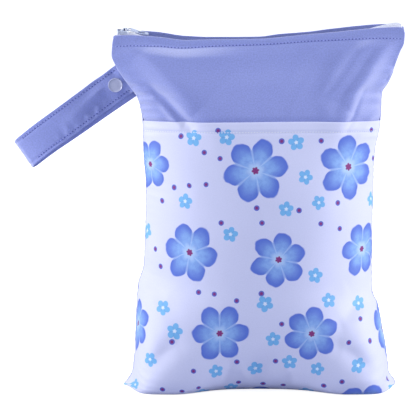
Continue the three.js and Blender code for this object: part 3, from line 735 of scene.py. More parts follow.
@dataclass(frozen=True)
class HardFinish:
    """Moulded plastic, thread or enamelled metal, with a fine grain and worn tones."""

    name: str
    colour: tuple
    deep: tuple
    roughness: float = 0.35
    metallic: float = 0.0
    grain: float = 900.0
    bump: float = 0.08
    coat: float = 0.0

    def make(self) -> Material:
        """Builds the material on the piece's place in the frame.

        Returns:
            The material.
        """
        material, desk, shader = new_material(self.name)
        place = desk.put("ShaderNodeTexCoord").outputs["Object"]
        cloud = desk.noise(place, self.grain * 0.15, 3.0, 0.6)
        fine = desk.noise(place, self.grain, 2.0, 0.5)
        tone = desk.mix(desk.ramp(cloud, 0.3, 0.7, 0.0, 0.5), self.colour, self.deep)
        desk.feed(shader.inputs["Base Color"], tone)
        rough = desk.ramp(fine, 0.25, 0.75, self.roughness - 0.06, self.roughness + 0.08)
        desk.feed(shader.inputs["Roughness"], rough)
        bump = desk.put("ShaderNodeBump", Strength=self.bump, Distance=0.0002, Height=fine)
        desk.feed(shader.inputs["Normal"], bump.outputs[0])
        shader.inputs["Metallic"].default_value = self.metallic
        shader.inputs["Coat Weight"].default_value = self.coat
        return material


class Finishes:
    """Every finish of the bag, made once."""

    def __init__(self) -> None:
        """Makes the shared node groups and the materials."""
        groups = {"weave": weave_group(), "blossom": blossom_group()}
        self.periwinkle = ClothFinish("periwinkle_cloth", linear(137, 148, 210), linear(128, 139, 204)).make(groups)
        self.strap = ClothFinish("strap_cloth", linear(147, 158, 222), linear(136, 147, 216)).make(groups)
        self.tape = ClothFinish(
            "zip_tape", linear(248, 249, 253), linear(236, 239, 248), pitch=0.0009, bump=0.3, sheen=0.1
        ).make(groups)
        self.printed = PrintFinish(
            "printed_cloth",
            ground=linear(217, 219, 244),
            ground_deep=linear(211, 214, 240),
            bloom=linear(142, 182, 236),
            bloom_deep=linear(88, 116, 210),
            bloom_pale=linear(188, 214, 248),
            blossom=linear(120, 186, 236),
            blossom_deep=linear(86, 140, 214),
            blossom_eye=linear(232, 240, 252),
            dot=linear(136, 40, 118),
        ).make(groups)
        self.coil = HardFinish("zip_coil", linear(232, 235, 246), linear(214, 219, 238), 0.4).make()
        self.snap = HardFinish("snap_plastic", linear(196, 199, 222), linear(180, 184, 212), 0.3, coat=0.3).make()
        self.enamel = HardFinish(
            "slider_enamel", linear(212, 219, 232), linear(178, 187, 208), 0.3, metallic=0.4, coat=0.3
        ).make()
        # Painted shade: a dark finish for marks on the slider that stand for the shade in the crown's eye and a dark
        # reflection on the nose.
        self.painted_shade_finish = HardFinish(
            "slider_painted_shade", linear(84, 94, 132), linear(64, 72, 108), 0.4, metallic=0.4
        ).make()
        # Painted shade: a dark finish for beads that stand for the shadow in the needle holes.
        self.needle_hole_shade = self.thread_finish("blue", linear(84, 94, 172), linear(72, 82, 158))
        self.thread = self.thread_finish("periwinkle", linear(176, 184, 236), linear(158, 168, 226))
        self.white_thread = self.thread_finish("white", linear(240, 242, 250), linear(224, 228, 242))

    def thread_finish(self, name: str, colour: tuple, deep: tuple) -> Material:
        """A sewing thread's finish, also the dark finish of the painted shade in the needle holes."""
        return HardFinish(f"stitch_thread_{name}", colour, deep, 0.6, bump=0.3).make()


# ---------------------------------------------------------------- the bag's body

# Folds: across, up, to across, to up, half breadth in mm, relief in mm, edge power, and half breadth in mm on the
# side towards the middle of the bag.
FRONT_FOLDS = (
    (-0.80, 0.99, -0.45, 0.80, 26.0, 13.0, 2.0, 70.0),
    (-0.82, 0.858, -0.58, 0.762, 5.5, -3.2, 1.8, 5.5),
    (-0.86, 0.84, -0.68, 0.765, 4.5, 2.4, 1.8, 4.5),
    (-0.97, 0.885, -0.86, 0.80, 9.0, 2.4, 2.0, 9.0),
    (-0.60, 0.96, -0.30, 0.86, 16.0, -1.6, 2.0, 22.0),
    (0.76, 0.985, 0.52, 0.82, 7.5, 3.4, 2.0, 8.5),
    (0.91, 0.985, 0.69, 0.79, 14.0, 9.0, 2.0, 28.0),
    (0.84, 0.97, 0.62, 0.80, 5.5, -1.5, 1.8, 5.5),
    (0.64, 0.975, 0.44, 0.83, 8.0, -0.9, 1.8, 14.0),
    (0.84, 0.85, 0.72, 0.755, 3.5, -1.8, 1.6, 3.5),
    (0.98, 0.80, 0.84, 0.745, 5.0, 1.6, 1.8, 5.0),
    (0.34, 0.95, 0.16, 0.84, 10.0, -1.8, 2.0, 10.0),
    (0.42, 0.94, 0.24, 0.82, 9.0, 1.7, 2.0, 9.0),
    (0.20, 0.92, -0.10, 0.80, 20.0, 1.2, 2.0, 20.0),
    (0.98, 0.27, 0.68, 0.20, 10.0, -4.4, 1.8, 10.0),
    (0.98, 0.33, 0.76, 0.29, 10.0, 2.6, 2.0, 10.0),
    (0.98, 0.42, 0.84, 0.41, 8.0, -1.6, 1.8, 8.0),
    (-0.98, 0.31, -0.74, 0.25, 12.0, -3.4, 1.8, 12.0),
    (-0.98, 0.40, -0.80, 0.38, 9.0, 1.8, 2.0, 9.0),
    (-0.93, 0.06, -0.66, 0.15, 10.0, -4.6, 1.7, 10.0),
    (0.93, 0.06, 0.64, 0.14, 10.0, -4.6, 1.7, 10.0),
    (-0.10, 0.03, 0.12, 0.10, 15.0, -3.6, 2.0, 15.0),
    (-0.30, 0.02, -0.22, 0.09, 7.0, -2.4, 1.6, 7.0),
    (0.28, 0.02, 0.22, 0.08, 7.0, -2.4, 1.6, 7.0),
    (-0.06, 0.02, -0.14, 0.08, 5.0, 1.6, 1.8, 5.0),
    (-0.96, 0.62, -0.70, 0.58, 12.0, -1.5, 2.0, 12.0),
    (0.96, 0.60, 0.72, 0.55, 12.0, -1.5, 2.0, 12.0),
)
BACK_FOLDS = (
    (-0.84, 0.97, -0.46, 0.78, 22.0, 7.0, 2.0, 70.0),
    (-0.88, 0.88, -0.62, 0.76, 6.0, -3.4, 1.7, 6.0),
    (-0.70, 0.97, -0.50, 0.84, 8.0, -2.2, 2.0, 10.0),
    (0.86, 0.97, 0.44, 0.76, 22.0, 7.0, 2.0, 70.0),
    (0.90, 0.87, 0.66, 0.75, 6.0, -3.2, 1.7, 6.0),
    (0.66, 0.97, 0.44, 0.82, 7.0, 2.4, 2.0, 7.0),
    (0.10, 0.95, -0.06, 0.72, 18.0, -2.4, 2.0, 18.0),
    (-0.97, 0.30, -0.70, 0.22, 12.0, -4.4, 1.7, 12.0),
    (0.97, 0.33, 0.70, 0.26, 12.0, -4.4, 1.7, 12.0),
    (-0.97, 0.37, -0.76, 0.31, 9.0, 2.0, 2.0, 9.0),
    (-0.93, 0.06, -0.64, 0.15, 10.0, -4.6, 1.7, 10.0),
    (0.93, 0.06, 0.64, 0.15, 10.0, -4.6, 1.7, 10.0),
    (-0.20, 0.03, -0.10, 0.11, 9.0, -2.6, 1.8, 9.0),
    (0.26, 0.03, 0.20, 0.10, 9.0, -2.6, 1.8, 9.0),
    (-0.96, 0.60, -0.66, 0.55, 14.0, -1.8, 2.0, 14.0),
    (0.96, 0.58, 0.70, 0.52, 14.0, -1.8, 2.0, 14.0),
)


@dataclass
class BagShape:
    """The filled body as a surface of two shares: across, from -1 at the left seam to 1 at the right one, and along,
    from 0 at the bottom seam to 1 at the lip. It is the CAD's surface, with finer folds."""

    top_width: float = 0.299
    height: float = 0.366
    depth: float = 0.116
    mouth_rise: float = 0.011
    back_lip_rise: float = 0.0045
    ear_lift: float = 0.0006
    seam_set_back: float = 0.006
    cloth: float = 0.0014
    clearance: float = 0.0003
    zip_half: float = 0.0025
    strap_half_gap: float = 0.0011
    strap_seam_height: float = 0.324
    strap_width: float = 0.033
    hem_height: float = 0.284
    left: tuple = (
        (0, 0.945), (0.0142, 0.92), (0.0256, 0.9), (0.0424, 0.88), (0.0986, 0.863), (0.2406, 0.846),
        (0.2977, 0.835), (0.3539, 0.795), (0.5807, 0.778), (0.6655, 0.793), (0.7641, 0.8), (0.8351, 0.843),
        (0.8518, 0.873), (0.8814, 0.927), (0.9179, 0.984), (0.9492, 1.013), (0.986, 1.006), (1, 1),
    )
    right: tuple = (
        (0, 0.965), (0.0139, 0.958), (0.0416, 0.915), (0.0694, 0.907), (0.1249, 0.887), (0.1804, 0.86),
        (0.2359, 0.832), (0.2686, 0.796), (0.337, 0.788), (0.5947, 0.793), (0.6591, 0.8), (0.7434, 0.836),
        (0.8237, 0.845), (0.8584, 0.892), (0.8851, 0.92), (0.9397, 0.968), (0.9644, 0.994), (0.991, 0.998),
        (1, 0.993),
    )
    out: tuple = (
        (0, 0), (0.055, 0.24), (0.085, 0.42), (0.13, 0.7), (0.18, 0.87), (0.25, 0.965), (0.33, 1), (0.5, 1),
        (0.65, 0.93), (0.8, 0.71), (0.9, 0.43), (0.96, 0.17), (1, 0.02),
    )
    up: tuple = (
        (0, 0), (0.055, 0), (0.085, 0.007), (0.13, 0.037), (0.18, 0.085), (0.25, 0.16), (0.33, 0.246), (0.5, 0.432),
        (0.65, 0.596), (0.8, 0.756), (0.9, 0.868), (0.96, 0.944), (1, 1),
    )
    lobe_out: tuple = (
        (0, 0), (0.055, 0.41), (0.085, 0.63), (0.13, 0.86), (0.18, 0.97), (0.25, 1.01), (0.33, 1.01), (0.5, 1),
        (0.65, 0.93), (0.8, 0.71), (0.9, 0.43), (0.96, 0.17), (1, 0.02),
    )
    lobe_up: tuple = (
        (0, 0), (0.055, 0), (0.085, 0), (0.13, 0.014), (0.18, 0.054), (0.25, 0.13), (0.33, 0.226), (0.5, 0.432),
        (0.65, 0.596), (0.8, 0.756), (0.9, 0.868), (0.96, 0.944), (1, 1),
    )
    seam: tuple = (
        (0, 0), (0.055, 0.01), (0.085, 0.02), (0.13, 0.05), (0.18, 0.1), (0.25, 0.18), (0.33, 0.266), (0.5, 0.442),
        (0.65, 0.6), (0.8, 0.745), (0.9, 0.86), (0.96, 0.94), (1, 1),
    )
    lip: tuple = (
        (-1, 0.12), (-0.985, 0.19), (-0.96, 0.24), (-0.88, 0.26), (-0.8, 0.2), (-0.7, 0.1), (-0.5, -0.2),
        (-0.35, -0.14), (0, -0.07), (0.15, 0.08), (0.33, 0.33), (0.5, 0.52), (0.66, 0.74), (0.84, 0.95),
        (0.95, 1), (0.98, 0.98), (1, 0.8),
    )
    back_lip: tuple = (
        (-1, 0), (-0.985, 0), (-0.96, 0), (-0.88, 0), (-0.8, 1), (-0.7, 1), (-0.5, 0.82), (-0.35, 0.45),
        (0, 0.35), (0.15, 0.6), (0.33, 0.45), (0.5, 0.7), (0.66, 0.75), (0.84, 0.7), (0.95, 0.6),
        (0.98, 0.5), (1, 0.4),
    )
    base_flat: float = 0.88
    base_end: float = 0.1
    base_shape_end: float = 0.4
    base_rim: float = 0.04
    lobe_at: float = 0.66
    lobe_breadth: float = 0.3
    folds_start: float = 0.2
    folds_end: float = 0.965
    rise_start: float = 0.8
    mouth_start: float = 0.93
    slope_step: float = 0.0015
    cloth_run: float = 0.43
    gather_pitch: float = 0.0105
    gather_reach: float = 0.015
    gather_relief: float = 0.0010
    slack_relief: float = 0.0007

    def lip_height(self, face: Face, across: Array) -> Array:
        """Height of a lip above the floor.

        Args:
            face: Front or back.
            across: Shares across.

        Returns:
            The heights, in metres.
        """
        front = self.height + self.mouth_rise * follow(self.lip, across)
        if face is Face.FRONT:
            return front
        return front + self.back_lip_rise * follow(self.back_lip, across)

    def rise(self, across: Array, along: Array) -> Array:
        """How far a level place near the mouth is raised, so that the cloth ends at the lip."""
        return (self.lip_height(Face.FRONT, across) - self.height) * smoothstep(along, self.rise_start, 1)

    def level_seam(self, along: Array) -> Array:
        """Height on the side seam, before the mouth's rise."""
        return lerp(self.ear_lift, self.height, follow(self.seam, along))

    def seam_height(self, side: Array, along: Array) -> Array:
        """Height on the side seam, from the tip of the bottom corner to the end of the zip."""
        return self.level_seam(along) + self.rise(side, along)

    def lobe_share(self, across: Array) -> Array:
        """How far the filled corners are from the middle: 0 at mid width, and 1 from the lobes outwards."""
        edge = np.abs(across)
        return np.where(edge > self.lobe_at, 1.0, np.exp(-(((edge - self.lobe_at) / self.lobe_breadth) ** 2)))

    def half_width(self, side: Array, along: Array) -> Array:
        """Half width of the outline at a share of the way up the cloth.

        Args:
            side: -1 left of the middle, 1 right of it.
            along: Shares along.

        Returns:
            Half of the width, in metres.
        """
        share = self.seam_height(side, along) / self.lip_height(Face.FRONT, side)
        half = np.where(side < 0, follow(self.left, share), follow(self.right, share))
        return self.top_width / 2 * half

    def along_where(self, height: float) -> float:
        """Share of the way up the cloth, at mid width, at which it reaches a height."""
        steps = np.linspace(0.1, 1, 4001)
        return float(np.interp(height, self.height * follow(self.up, steps), steps))

    def along_on_seam(self, height: float) -> float:
        """Share of the way up the cloth at which the left seam reaches a height."""
        steps = np.linspace(0.1, 1, 4001)
        return float(np.interp(height, self.seam_height(np.full(4001, -1.0), steps), steps))

    def half_gap(self, across: Array, along: Array) -> Array:
        """Half of the space between the faces: a hair at the seams, more round the zip and the strap's sewn end.

        Args:
            across: Shares across.
            along: Shares along.

        Returns:
            Half of the space, in metres.
        """
        hair = self.clearance / 2
        zip_part = (self.zip_half - hair) * smoothstep(along, self.mouth_start, 0.985)
        reach = self.strap_width / 2 / self.height
        near = 1 - smoothstep(np.abs(along - self.along_on_seam(self.strap_seam_height)), reach, 1.8 * reach)
        strap = np.where(across < 0, (self.strap_half_gap - hair) * near * across**6, 0)
        return hair + np.maximum(zip_part, strap)

    def folds(self, face: Face, across: Array, up: Array) -> Array:
        """Relief of the folds: each runs between two points, and at a distance d from its line it stands out by
        relief * exp(-(d / breadth)^power), fading to a half at its ends. A fold may be broader on the side towards
        the middle of the bag.

        Args:
            face: Front or back.
            across: Shares across.
            up: Shares of the height.

        Returns:
            How far the folds stand out, in metres.
        """
        table = np.asarray(FRONT_FOLDS if face is Face.FRONT else BACK_FOLDS)
        half = np.array([self.top_width / 2, self.height])
        start = table[:, 0:2] * half
        run = table[:, 2:4] * half - start
        here = np.stack([across, up], axis=-1)[..., None, :] * half - start
        share = np.clip((here * run).sum(-1) / (run * run).sum(-1), 0, 1)
        distance = np.linalg.norm(here - share[..., None] * run, axis=-1)
        beside = (run[:, 0] * here[..., 1] - run[:, 1] * here[..., 0]) * -np.sign(start[:, 0])
        beside = beside / np.linalg.norm(run, axis=-1) / np.maximum(distance, 1e-6)
        breadth = lerp(table[:, 4], table[:, 7], smoothstep(beside, -1, 1)) * MM
        fade = 0.35 + 0.65 * np.sin(math.pi * np.clip(share, 0.1, 0.9))
        shape = np.exp(-((distance / breadth) ** table[:, 6]))
        return (table[:, 5] * MM * fade * shape).sum(-1)

    def reach(self, face: Face, across: Array, along: Array, up: Array) -> Array:
        """How far one face stands out from the plane of the seams: half the depth times the profile, which is fuller
        in the lobes, times (1 - |across|^n)^m, with n from 14 at the base to 2.4 and m from 0.5 to 0.75, plus the
        folds away from the seams.

        Args:
            face: Front or back.
            across: Shares across.
            along: Shares along.
            up: Shares of the height.

        Returns:
            How far the face stands out, in metres.
        """
        edge = np.abs(across)
        body = smoothstep(along, self.base_end, self.base_shape_end)
        full = np.maximum(0, 1 - edge ** lerp(14.0, 2.4, body)) ** lerp(0.5, 0.75, body)
        out = lerp(follow(self.out, along), follow(self.lobe_out, along), self.lobe_share(across))
        free = smoothstep(along, self.base_end, self.folds_start) * (1 - smoothstep(along, self.folds_end, 0.985))
        relief = self.folds(face, across, up) * free * (1 - edge**12)
        return self.depth / 2 * out * full + relief + self.puckers(face, across, along)

    def puckers(self, face: Face, across: Array, along: Array) -> Array:
        """Small gathers along the side seams, a wave along the seam that dies out by exp(-(d / reach)^1.2) at a
        distance d from it, and a slow unevenness of the whole cloth.

        Args:
            face: Front or back.
            across: Shares across.
            along: Shares along.

        Returns:
            Their relief, in metres.
        """
        edge = np.abs(across)
        side = np.sign(across)
        run = along * self.cloth_run
        phase = 3.0 * np.sin(run * 38 + side + face.value) + 1.3 * side
        wave = np.sin(2 * math.pi * run / self.gather_pitch + phase) * (0.6 + 0.4 * np.sin(run * 61 + 2 * side))
        near = np.exp(-(((1 - edge) * 0.12 / self.gather_reach) ** 1.2)) * smoothstep(1 - edge, 0.0, 0.02)
        slow = np.sin(across * 5.1 + along * 9.0 + face.value) * np.sin(along * 17.0 - across * 3.3)
        inside = smoothstep(along, 0.06, 0.2) * (1 - smoothstep(along, 0.9, 0.97))
        return (self.gather_relief * wave * near + self.slack_relief * slow * (1 - edge**4)) * inside

    def skin(self, face: Face, across: Array, along: Array) -> Array:
        """The outer surface: x is across times the half width, y the half gap, the wall and the reach on the face's
        side, and z runs from the height at mid width to the height on the seam, and on to the lip.

        Args:
            face: Front or back.
            across: Shares across, an array.
            along: Shares along, an array of the same shape.

        Returns:
            The points, with a last axis of three.
        """
        side = np.where(across < 0, -1.0, 1.0)
        edge = np.abs(across)
        up = lerp(follow(self.up, along), follow(self.lobe_up, along), self.lobe_share(across))
        low = np.clip((edge - self.base_flat) / (1 - self.base_flat), 0, 1) ** 3
        to_seam = lerp(low, edge**2.5, smoothstep(along, self.base_end, self.base_shape_end))
        past_front = self.lip_height(face, across) - self.lip_height(Face.FRONT, across)
        height = lerp(self.height * up, self.level_seam(along), to_seam) + self.rise(across, along)
        set_back = self.seam_set_back * (1 - edge**2) * (1 - smoothstep(along, 0, self.base_end))
        wall = self.cloth * smoothstep(along, 0, self.base_rim)
        out = self.half_gap(across, along) + wall + self.reach(face, across, along, up)
        x = across * self.half_width(side, along)
        z = height + past_front * smoothstep(along, self.mouth_start, 1)
        return np.stack([x, set_back + face.value * out, z], axis=-1)

    def inside(self, face: Face, across: Array, along: Array, depth: Array) -> Array:
        """The outer surface moved inwards: up at the bottom seam, square to the cloth elsewhere, and straight back at
        the side seams, but never past the plane of the seams.

        Args:
            face: Front or back.
            across: Shares across.
            along: Shares along.
            depth: How far inwards, in metres. Less than nothing is outwards.

        Returns:
            The points.
        """
        here = self.skin(face, across, along)
        step = self.slope_step
        a = np.clip(across, step - 1, 1 - step)
        v = np.clip(along, step, 1 - step)
        wide = self.skin(face, a + step, v) - self.skin(face, a - step, v)
        tall = self.skin(face, a, v + step) - self.skin(face, a, v - step)
        inward = unit(-face.value * np.cross(tall, wide))
        inward = lerp(inward, np.array([0.0, -face.value, 0.0]), smoothstep(np.abs(across), 0.93, 1)[..., None])
        rim = (1 - smoothstep(along, 0, self.base_rim))[..., None]
        inward = unit(lerp(inward, np.array([0.0, 0.0, 1.0]), rim))
        moved = here + inward * np.broadcast_to(depth, across.shape)[..., None]
        set_back = self.seam_set_back * (1 - across**2) * (1 - smoothstep(along, 0, self.base_end))
        least = set_back + face.value * self.half_gap(across, along)
        moved[..., 1] = np.minimum(moved[..., 1], least) if face is Face.FRONT else np.maximum(moved[..., 1], least)
        return moved


def stations_across(count: int) -> Array:
    """Shares from -1 to 1 that lie closer together near the seams."""
    t = np.linspace(-1, 1, count)
    return 0.55 * t + 0.45 * np.sin(math.pi / 2 * t)


def stations(*spans: tuple[float, float, int]) -> Array:
    """Shares along, from spans of a start, an end and a count that follow one another."""
    last = spans[-1]
    return np.concatenate([np.linspace(*span, endpoint=span is last) for span in spans])


def flat_places(points: Array, row: int) -> Array:
    """Places on the flat cloth, as lengths along the surface: sideways from the middle column, and up or down from
    one row.

    Args:
        points: Points of the surface, rows by columns by three.
        row: The row from which the second length counts.

    Returns:
        Two lengths for each point, in metres.
    """
    sideways = np.zeros(points.shape[:2])
    sideways[:, 1:] = np.cumsum(length_of(np.diff(points, axis=1))[..., 0], axis=1)
    sideways -= sideways[:, [points.shape[1] // 2]]
    upward = np.zeros(points.shape[:2])
    upward[1:] = np.cumsum(length_of(np.diff(points, axis=0))[..., 0], axis=0)
    upward -= upward[[row]]
    return np.stack([sideways, upward], axis=-1)


def wall_places(flat: Array, arc_steps: int = 6) -> Array:
    """Flat places for a folded wall, whose inner surface has the outer one's."""
    arc = np.repeat(flat[-1:], arc_steps - 1, axis=0)
    return np.concatenate([flat, arc, flat[::-1]]).reshape(-1, 2)


SIDES = {-1.0: "left", 1.0: "right"}
# Rows of a top-stitching: kind, length of a stitch, gap, radius, how much later it starts, and its finish. The
# needle_holes row is dark beads of painted shade, standing for the shadow in the needle holes.
STITCH_ROWS = (
    ("stitches", 0.0021, 0.0014, 0.00036, 0.0, "thread"),
    ("needle_holes", 0.0013, 0.0022, 0.00062, 0.00175, "needle_hole_shade"),
)


@dataclass
class Panels:
    """The three sewn panels of the body and their stitching."""

    shape: BagShape
    finishes: Finishes
    hem_lap: float = 0.015
    hem_proud: float = 0.0008
    hem_fold: float = 0.0095
    stitch_drop: float = 0.0080
    stitch_drop_ends: float = 0.0042
    lip_length: float = 0.512
    lap_blend: float = 0.018
    lap_narrow: float = 0.010
    lap_ease: float = 0.0009
    welt_radius: float = 0.0007
    welt_inset: float = 0.0001
    seam_end_inset: float = 0.0012
    seam_end_thick: float = 0.0014
    cloth_length: float = 0.41
    doubled_rise: float = 0.0005
    hem_pull: float = 0.0007
    stitch_pull: float = 0.0006
    stitch_reach: float = 0.0017
    columns: int = 201

    def __post_init__(self) -> None:
        """Works out where the hem and the yoke's lower edge lie along the cloth."""
        self.hem = self.shape.along_where(self.shape.hem_height)
        self.lap = self.shape.along_where(self.shape.hem_height - self.hem_lap)

    def proud(self, across: Array, along: Array) -> Array:
        """How far the pocket panel stands proud of the skin: more towards its hem, a little more above the hem's
        stitching, and less along the stitching itself.

        Args:
            across: Shares across.
            along: Shares along.

        Returns:
            How far it stands out, in metres.
        """
        rise = self.hem_proud * smoothstep(along, self.lap - 0.1, self.hem)
        drop = (self.hem - along) * self.cloth_length
        doubled = self.doubled_rise * (1 - smoothstep(drop, self.hem_fold - 0.001, self.hem_fold + 0.0015))
        pull = self.hem_pull * np.exp(-(((drop - self.hem_fold) / 0.0016) ** 2))
        return (rise + doubled - pull) * (1 - across**8)

    def plain_piece(self, name: str, points: Array, faces: list, uv: Array, *nodes: str) -> Piece:
        """A piece of the plain cloth on the bag."""
        return make_piece(name, points, faces, self.finishes.periwinkle, "bag", "periwinkle_cloth", nodes, uv)

    def grid(self, along: Array) -> tuple[Array, Array]:
        """Shares across and along for every point of a panel."""
        across, up = np.meshgrid(stations_across(self.columns), along)
        return across, up

    def pocket(self) -> Piece:
        """The printed pocket panel, with its doubled hem.

        Returns:
            The new object.
        """
        near_hem = self.hem - 0.045
        along = stations((0, 0.2, 44), (0.2, near_hem, 76), (near_hem, self.hem, 24))
        across, up = self.grid(along)
        proud = self.proud(across, up)
        outer = self.shape.inside(Face.FRONT, across, up, -proud)
        thick = self.shape.cloth + 0.0004 * smoothstep(up, self.hem - 0.03, self.hem)
        inner = self.shape.inside(Face.FRONT, across, up, thick - proud)
        points, faces = folded_wall(outer, inner)
        places = wall_places(flat_places(outer, len(along) - 1))
        printed = self.finishes.printed
        piece = make_piece("pocket_cloth", points, faces, printed, "bag", "printed_cloth", ("pocket_panel",), places)
        return piece

    def yoke(self) -> Piece:
        """The plain yoke, from behind the pocket's hem to the lip.

        Returns:
            The new object.
        """
        along = stations((self.lap, self.hem, 8), (self.hem, 0.955, 52), (0.955, 1, 26))
        across, up = self.grid(along)
        under = 1 - smoothstep(up, self.hem, self.hem + self.lap_blend)
        across = across * (1 - self.lap_narrow * under)
        sunk = (self.shape.cloth + self.shape.clearance + self.lap_ease - self.proud(across, up)) * under
        pull = self.drawn_in(across, up)
        outer = self.shape.inside(Face.FRONT, across, up, sunk + pull)
        inner = self.shape.inside(Face.FRONT, across, up, sunk + self.shape.cloth + 0.0003)
        points, faces = folded_wall(outer, inner)
        places = wall_places(flat_places(outer, 0))
        piece = self.plain_piece("yoke_cloth", points, faces, places, "front_yoke")
        return piece

    def back(self) -> Piece:
        """The plain back panel, from the bottom seam to the lip.

        Returns:
            The new object.
        """
        along = stations((0, 0.2, 44), (0.2, 0.955, 108), (0.955, 1, 22))
        across, up = self.grid(along)
        pull = self.drawn_in(across, up)
        outer = self.shape.inside(Face.BACK, across, up, pull)
        inner = self.shape.inside(Face.BACK, across, up, pull + self.shape.cloth)
        points, faces = folded_wall(outer[:, ::-1], inner[:, ::-1])
        places = wall_places(flat_places(outer[:, ::-1], 0))
        piece = self.plain_piece("back_cloth", points, faces, places, "back_panel")
        return piece

    def drawn_in(self, across: Array, up: Array) -> Array:
        """How far the top-stitching draws the cloth in: depth * exp(-(d / reach)^2) at a distance d from its row."""
        off = (up - self.top_stitch_along(across)) * self.cloth_length
        return self.stitch_pull * np.exp(-((off / self.stitch_reach) ** 2)) * (1 - across**8)

    def top_stitch_along(self, across: Array) -> Array:
        """Share along at which the top-stitching runs: below the lip by a drop that grows towards the ends."""
        drop = self.stitch_drop + self.stitch_drop_ends * np.abs(across) ** 1.5
        return 1 - drop / self.lip_length

    def seam_line(self, side: float, along: Array, inset: float) -> Array:
        """Points along one side seam, set in from the outline.

        Args:
            side: -1 for the left seam, 1 for the right one.
            along: Shares along.
            inset: How far they are set in, in metres.

        Returns:
            The points.
        """
        across = np.full(len(along), side)
        x = side * (self.shape.half_width(across, along) - inset)
        return np.stack([x, 0 * x, self.shape.seam_height(across, along)], axis=1)

    def seam_welt(self, side: float, high: float) -> Piece:
        """The thin welt of the back's cloth that shows along one side seam: a bar whose radius wanders a little.

        Args:
            side: -1 for the left seam, 1 for the right one.
            high: Share along at which it ends.

        Returns:
            The new object.
        """
        along = np.linspace(0.035, high, 320)
        radius = self.welt_radius * (1 + 0.12 * np.sin(along * 310) + 0.1 * np.sin(along * 97 + side))
        points, faces = tube(self.seam_line(side, along, self.welt_inset), radius, 8)
        return self.plain_piece(f"seam_welt_{SIDES[side]}", points, faces, points[:, 1:])

    def seam_end(self, side: float, low: float) -> Piece:
        """The turned-in seam allowance that closes one side seam beside the end of the zip.

        Args:
            side: -1 for the left seam, 1 for the right one.
            low: Share along at which it starts.

        Returns:
            The new object.
        """
        along = np.linspace(low, 0.995, 24)
        wide = 2 * self.shape.half_gap(np.full(24, side), along) - 0.0002
        path = self.seam_line(side, along, self.seam_end_inset)
        thick = np.full(24, self.seam_end_thick)
        points, faces = swept(path, np.tile([0.0, 1.0, 0.0], (24, 1)), wide, thick, 5.0)
        return self.plain_piece(f"seam_end_{SIDES[side]}", points, faces, points[:, 1:])

    def stitching(self) -> None:
        """The rows of stitches: along the zip on both faces, and along the pocket's hem."""
        across = np.linspace(-0.985, 0.985, 500)
        top = self.top_stitch_along(across)
        for face, side in ((Face.FRONT, "yoke"), (Face.BACK, "back")):
            line = self.shape.inside(face, across, top, np.full(500, 0.0004))
            for kind, length, gap, radius, late, thread in STITCH_ROWS:
                points, faces = stitches(line, length, gap, radius, late)
                material = getattr(self.finishes, thread)
                make_piece(f"{side}_top_{kind}", points, faces, material, "bag", "periwinkle_cloth")
        hem = np.full(500, self.hem - self.hem_fold / self.cloth_length)
        line = self.shape.inside(Face.FRONT, across, hem, -self.proud(across, hem) - 0.0002)
        points, faces = stitches(line, 0.0021, 0.0009, 0.00042)
        make_piece("hem_stitches", points, faces, self.finishes.white_thread, "bag", "printed_cloth")


def stitches(line: Array, length: float, gap: float, radius: float, late: float = 0.0) -> Mesh:
    """A row of short rounded stitches along a line. Their faces look inwards.

    Each is a bar of six sides whose radius follows sqrt(1 - t^2) from end to end, with t from -1 to 1, and whose
    middle rises off the cloth a little as it leaves one hole and enters the next.

    Args:
        line: Points close together along the row.
        length: Length of one stitch.
        gap: Space between two stitches.
        radius: Radius of the thread.
        late: How much later than half a gap the row starts.

    Returns:
        The points and the faces.
    """
    step = length_of(np.diff(line, axis=0))[:, 0]
    run = np.concatenate([[0], np.cumsum(step)])
    count = int((run[-1] - late) / (length + gap))
    start = (np.arange(count) * (length + gap) + gap / 2 + late)[:, None]
    t = np.linspace(-0.96, 0.96, 6)
    at = start + length * (t[None, :] + 1) / 2
    path = np.stack([np.interp(at, run, line[:, i]) for i in range(3)], axis=-1)
    way = unit(path[:, -1:] - path[:, :1])
    side = unit(np.cross(way, np.array([0.0, 1.0, 0.0]) + 0 * way))
    out = np.cross(side, way)
    sides = 6
    a = np.linspace(0, 2 * math.pi, sides, endpoint=False)
    thick = radius * np.sqrt(1 - t**2)[None, :, None, None] + 0.00003
    round_x, round_y = np.cos(a)[:, None], np.sin(a)[:, None]
    ring = path[:, :, None] + thick * (round_x * side[:, :, None] + round_y * out[:, :, None])
    _, one = rings(ring[0])
    base = (np.arange(count) * len(t) * sides)[:, None]
    quads = (np.ravel(one[:-2]) + base).reshape(-1, 4)
    ends = (np.ravel(one[-2:]) + base).reshape(-1, sides)
    return ring.reshape(-1, 3), [tuple(f) for f in quads.tolist() + ends.tolist()]


# ---------------------------------------------------------------- zip


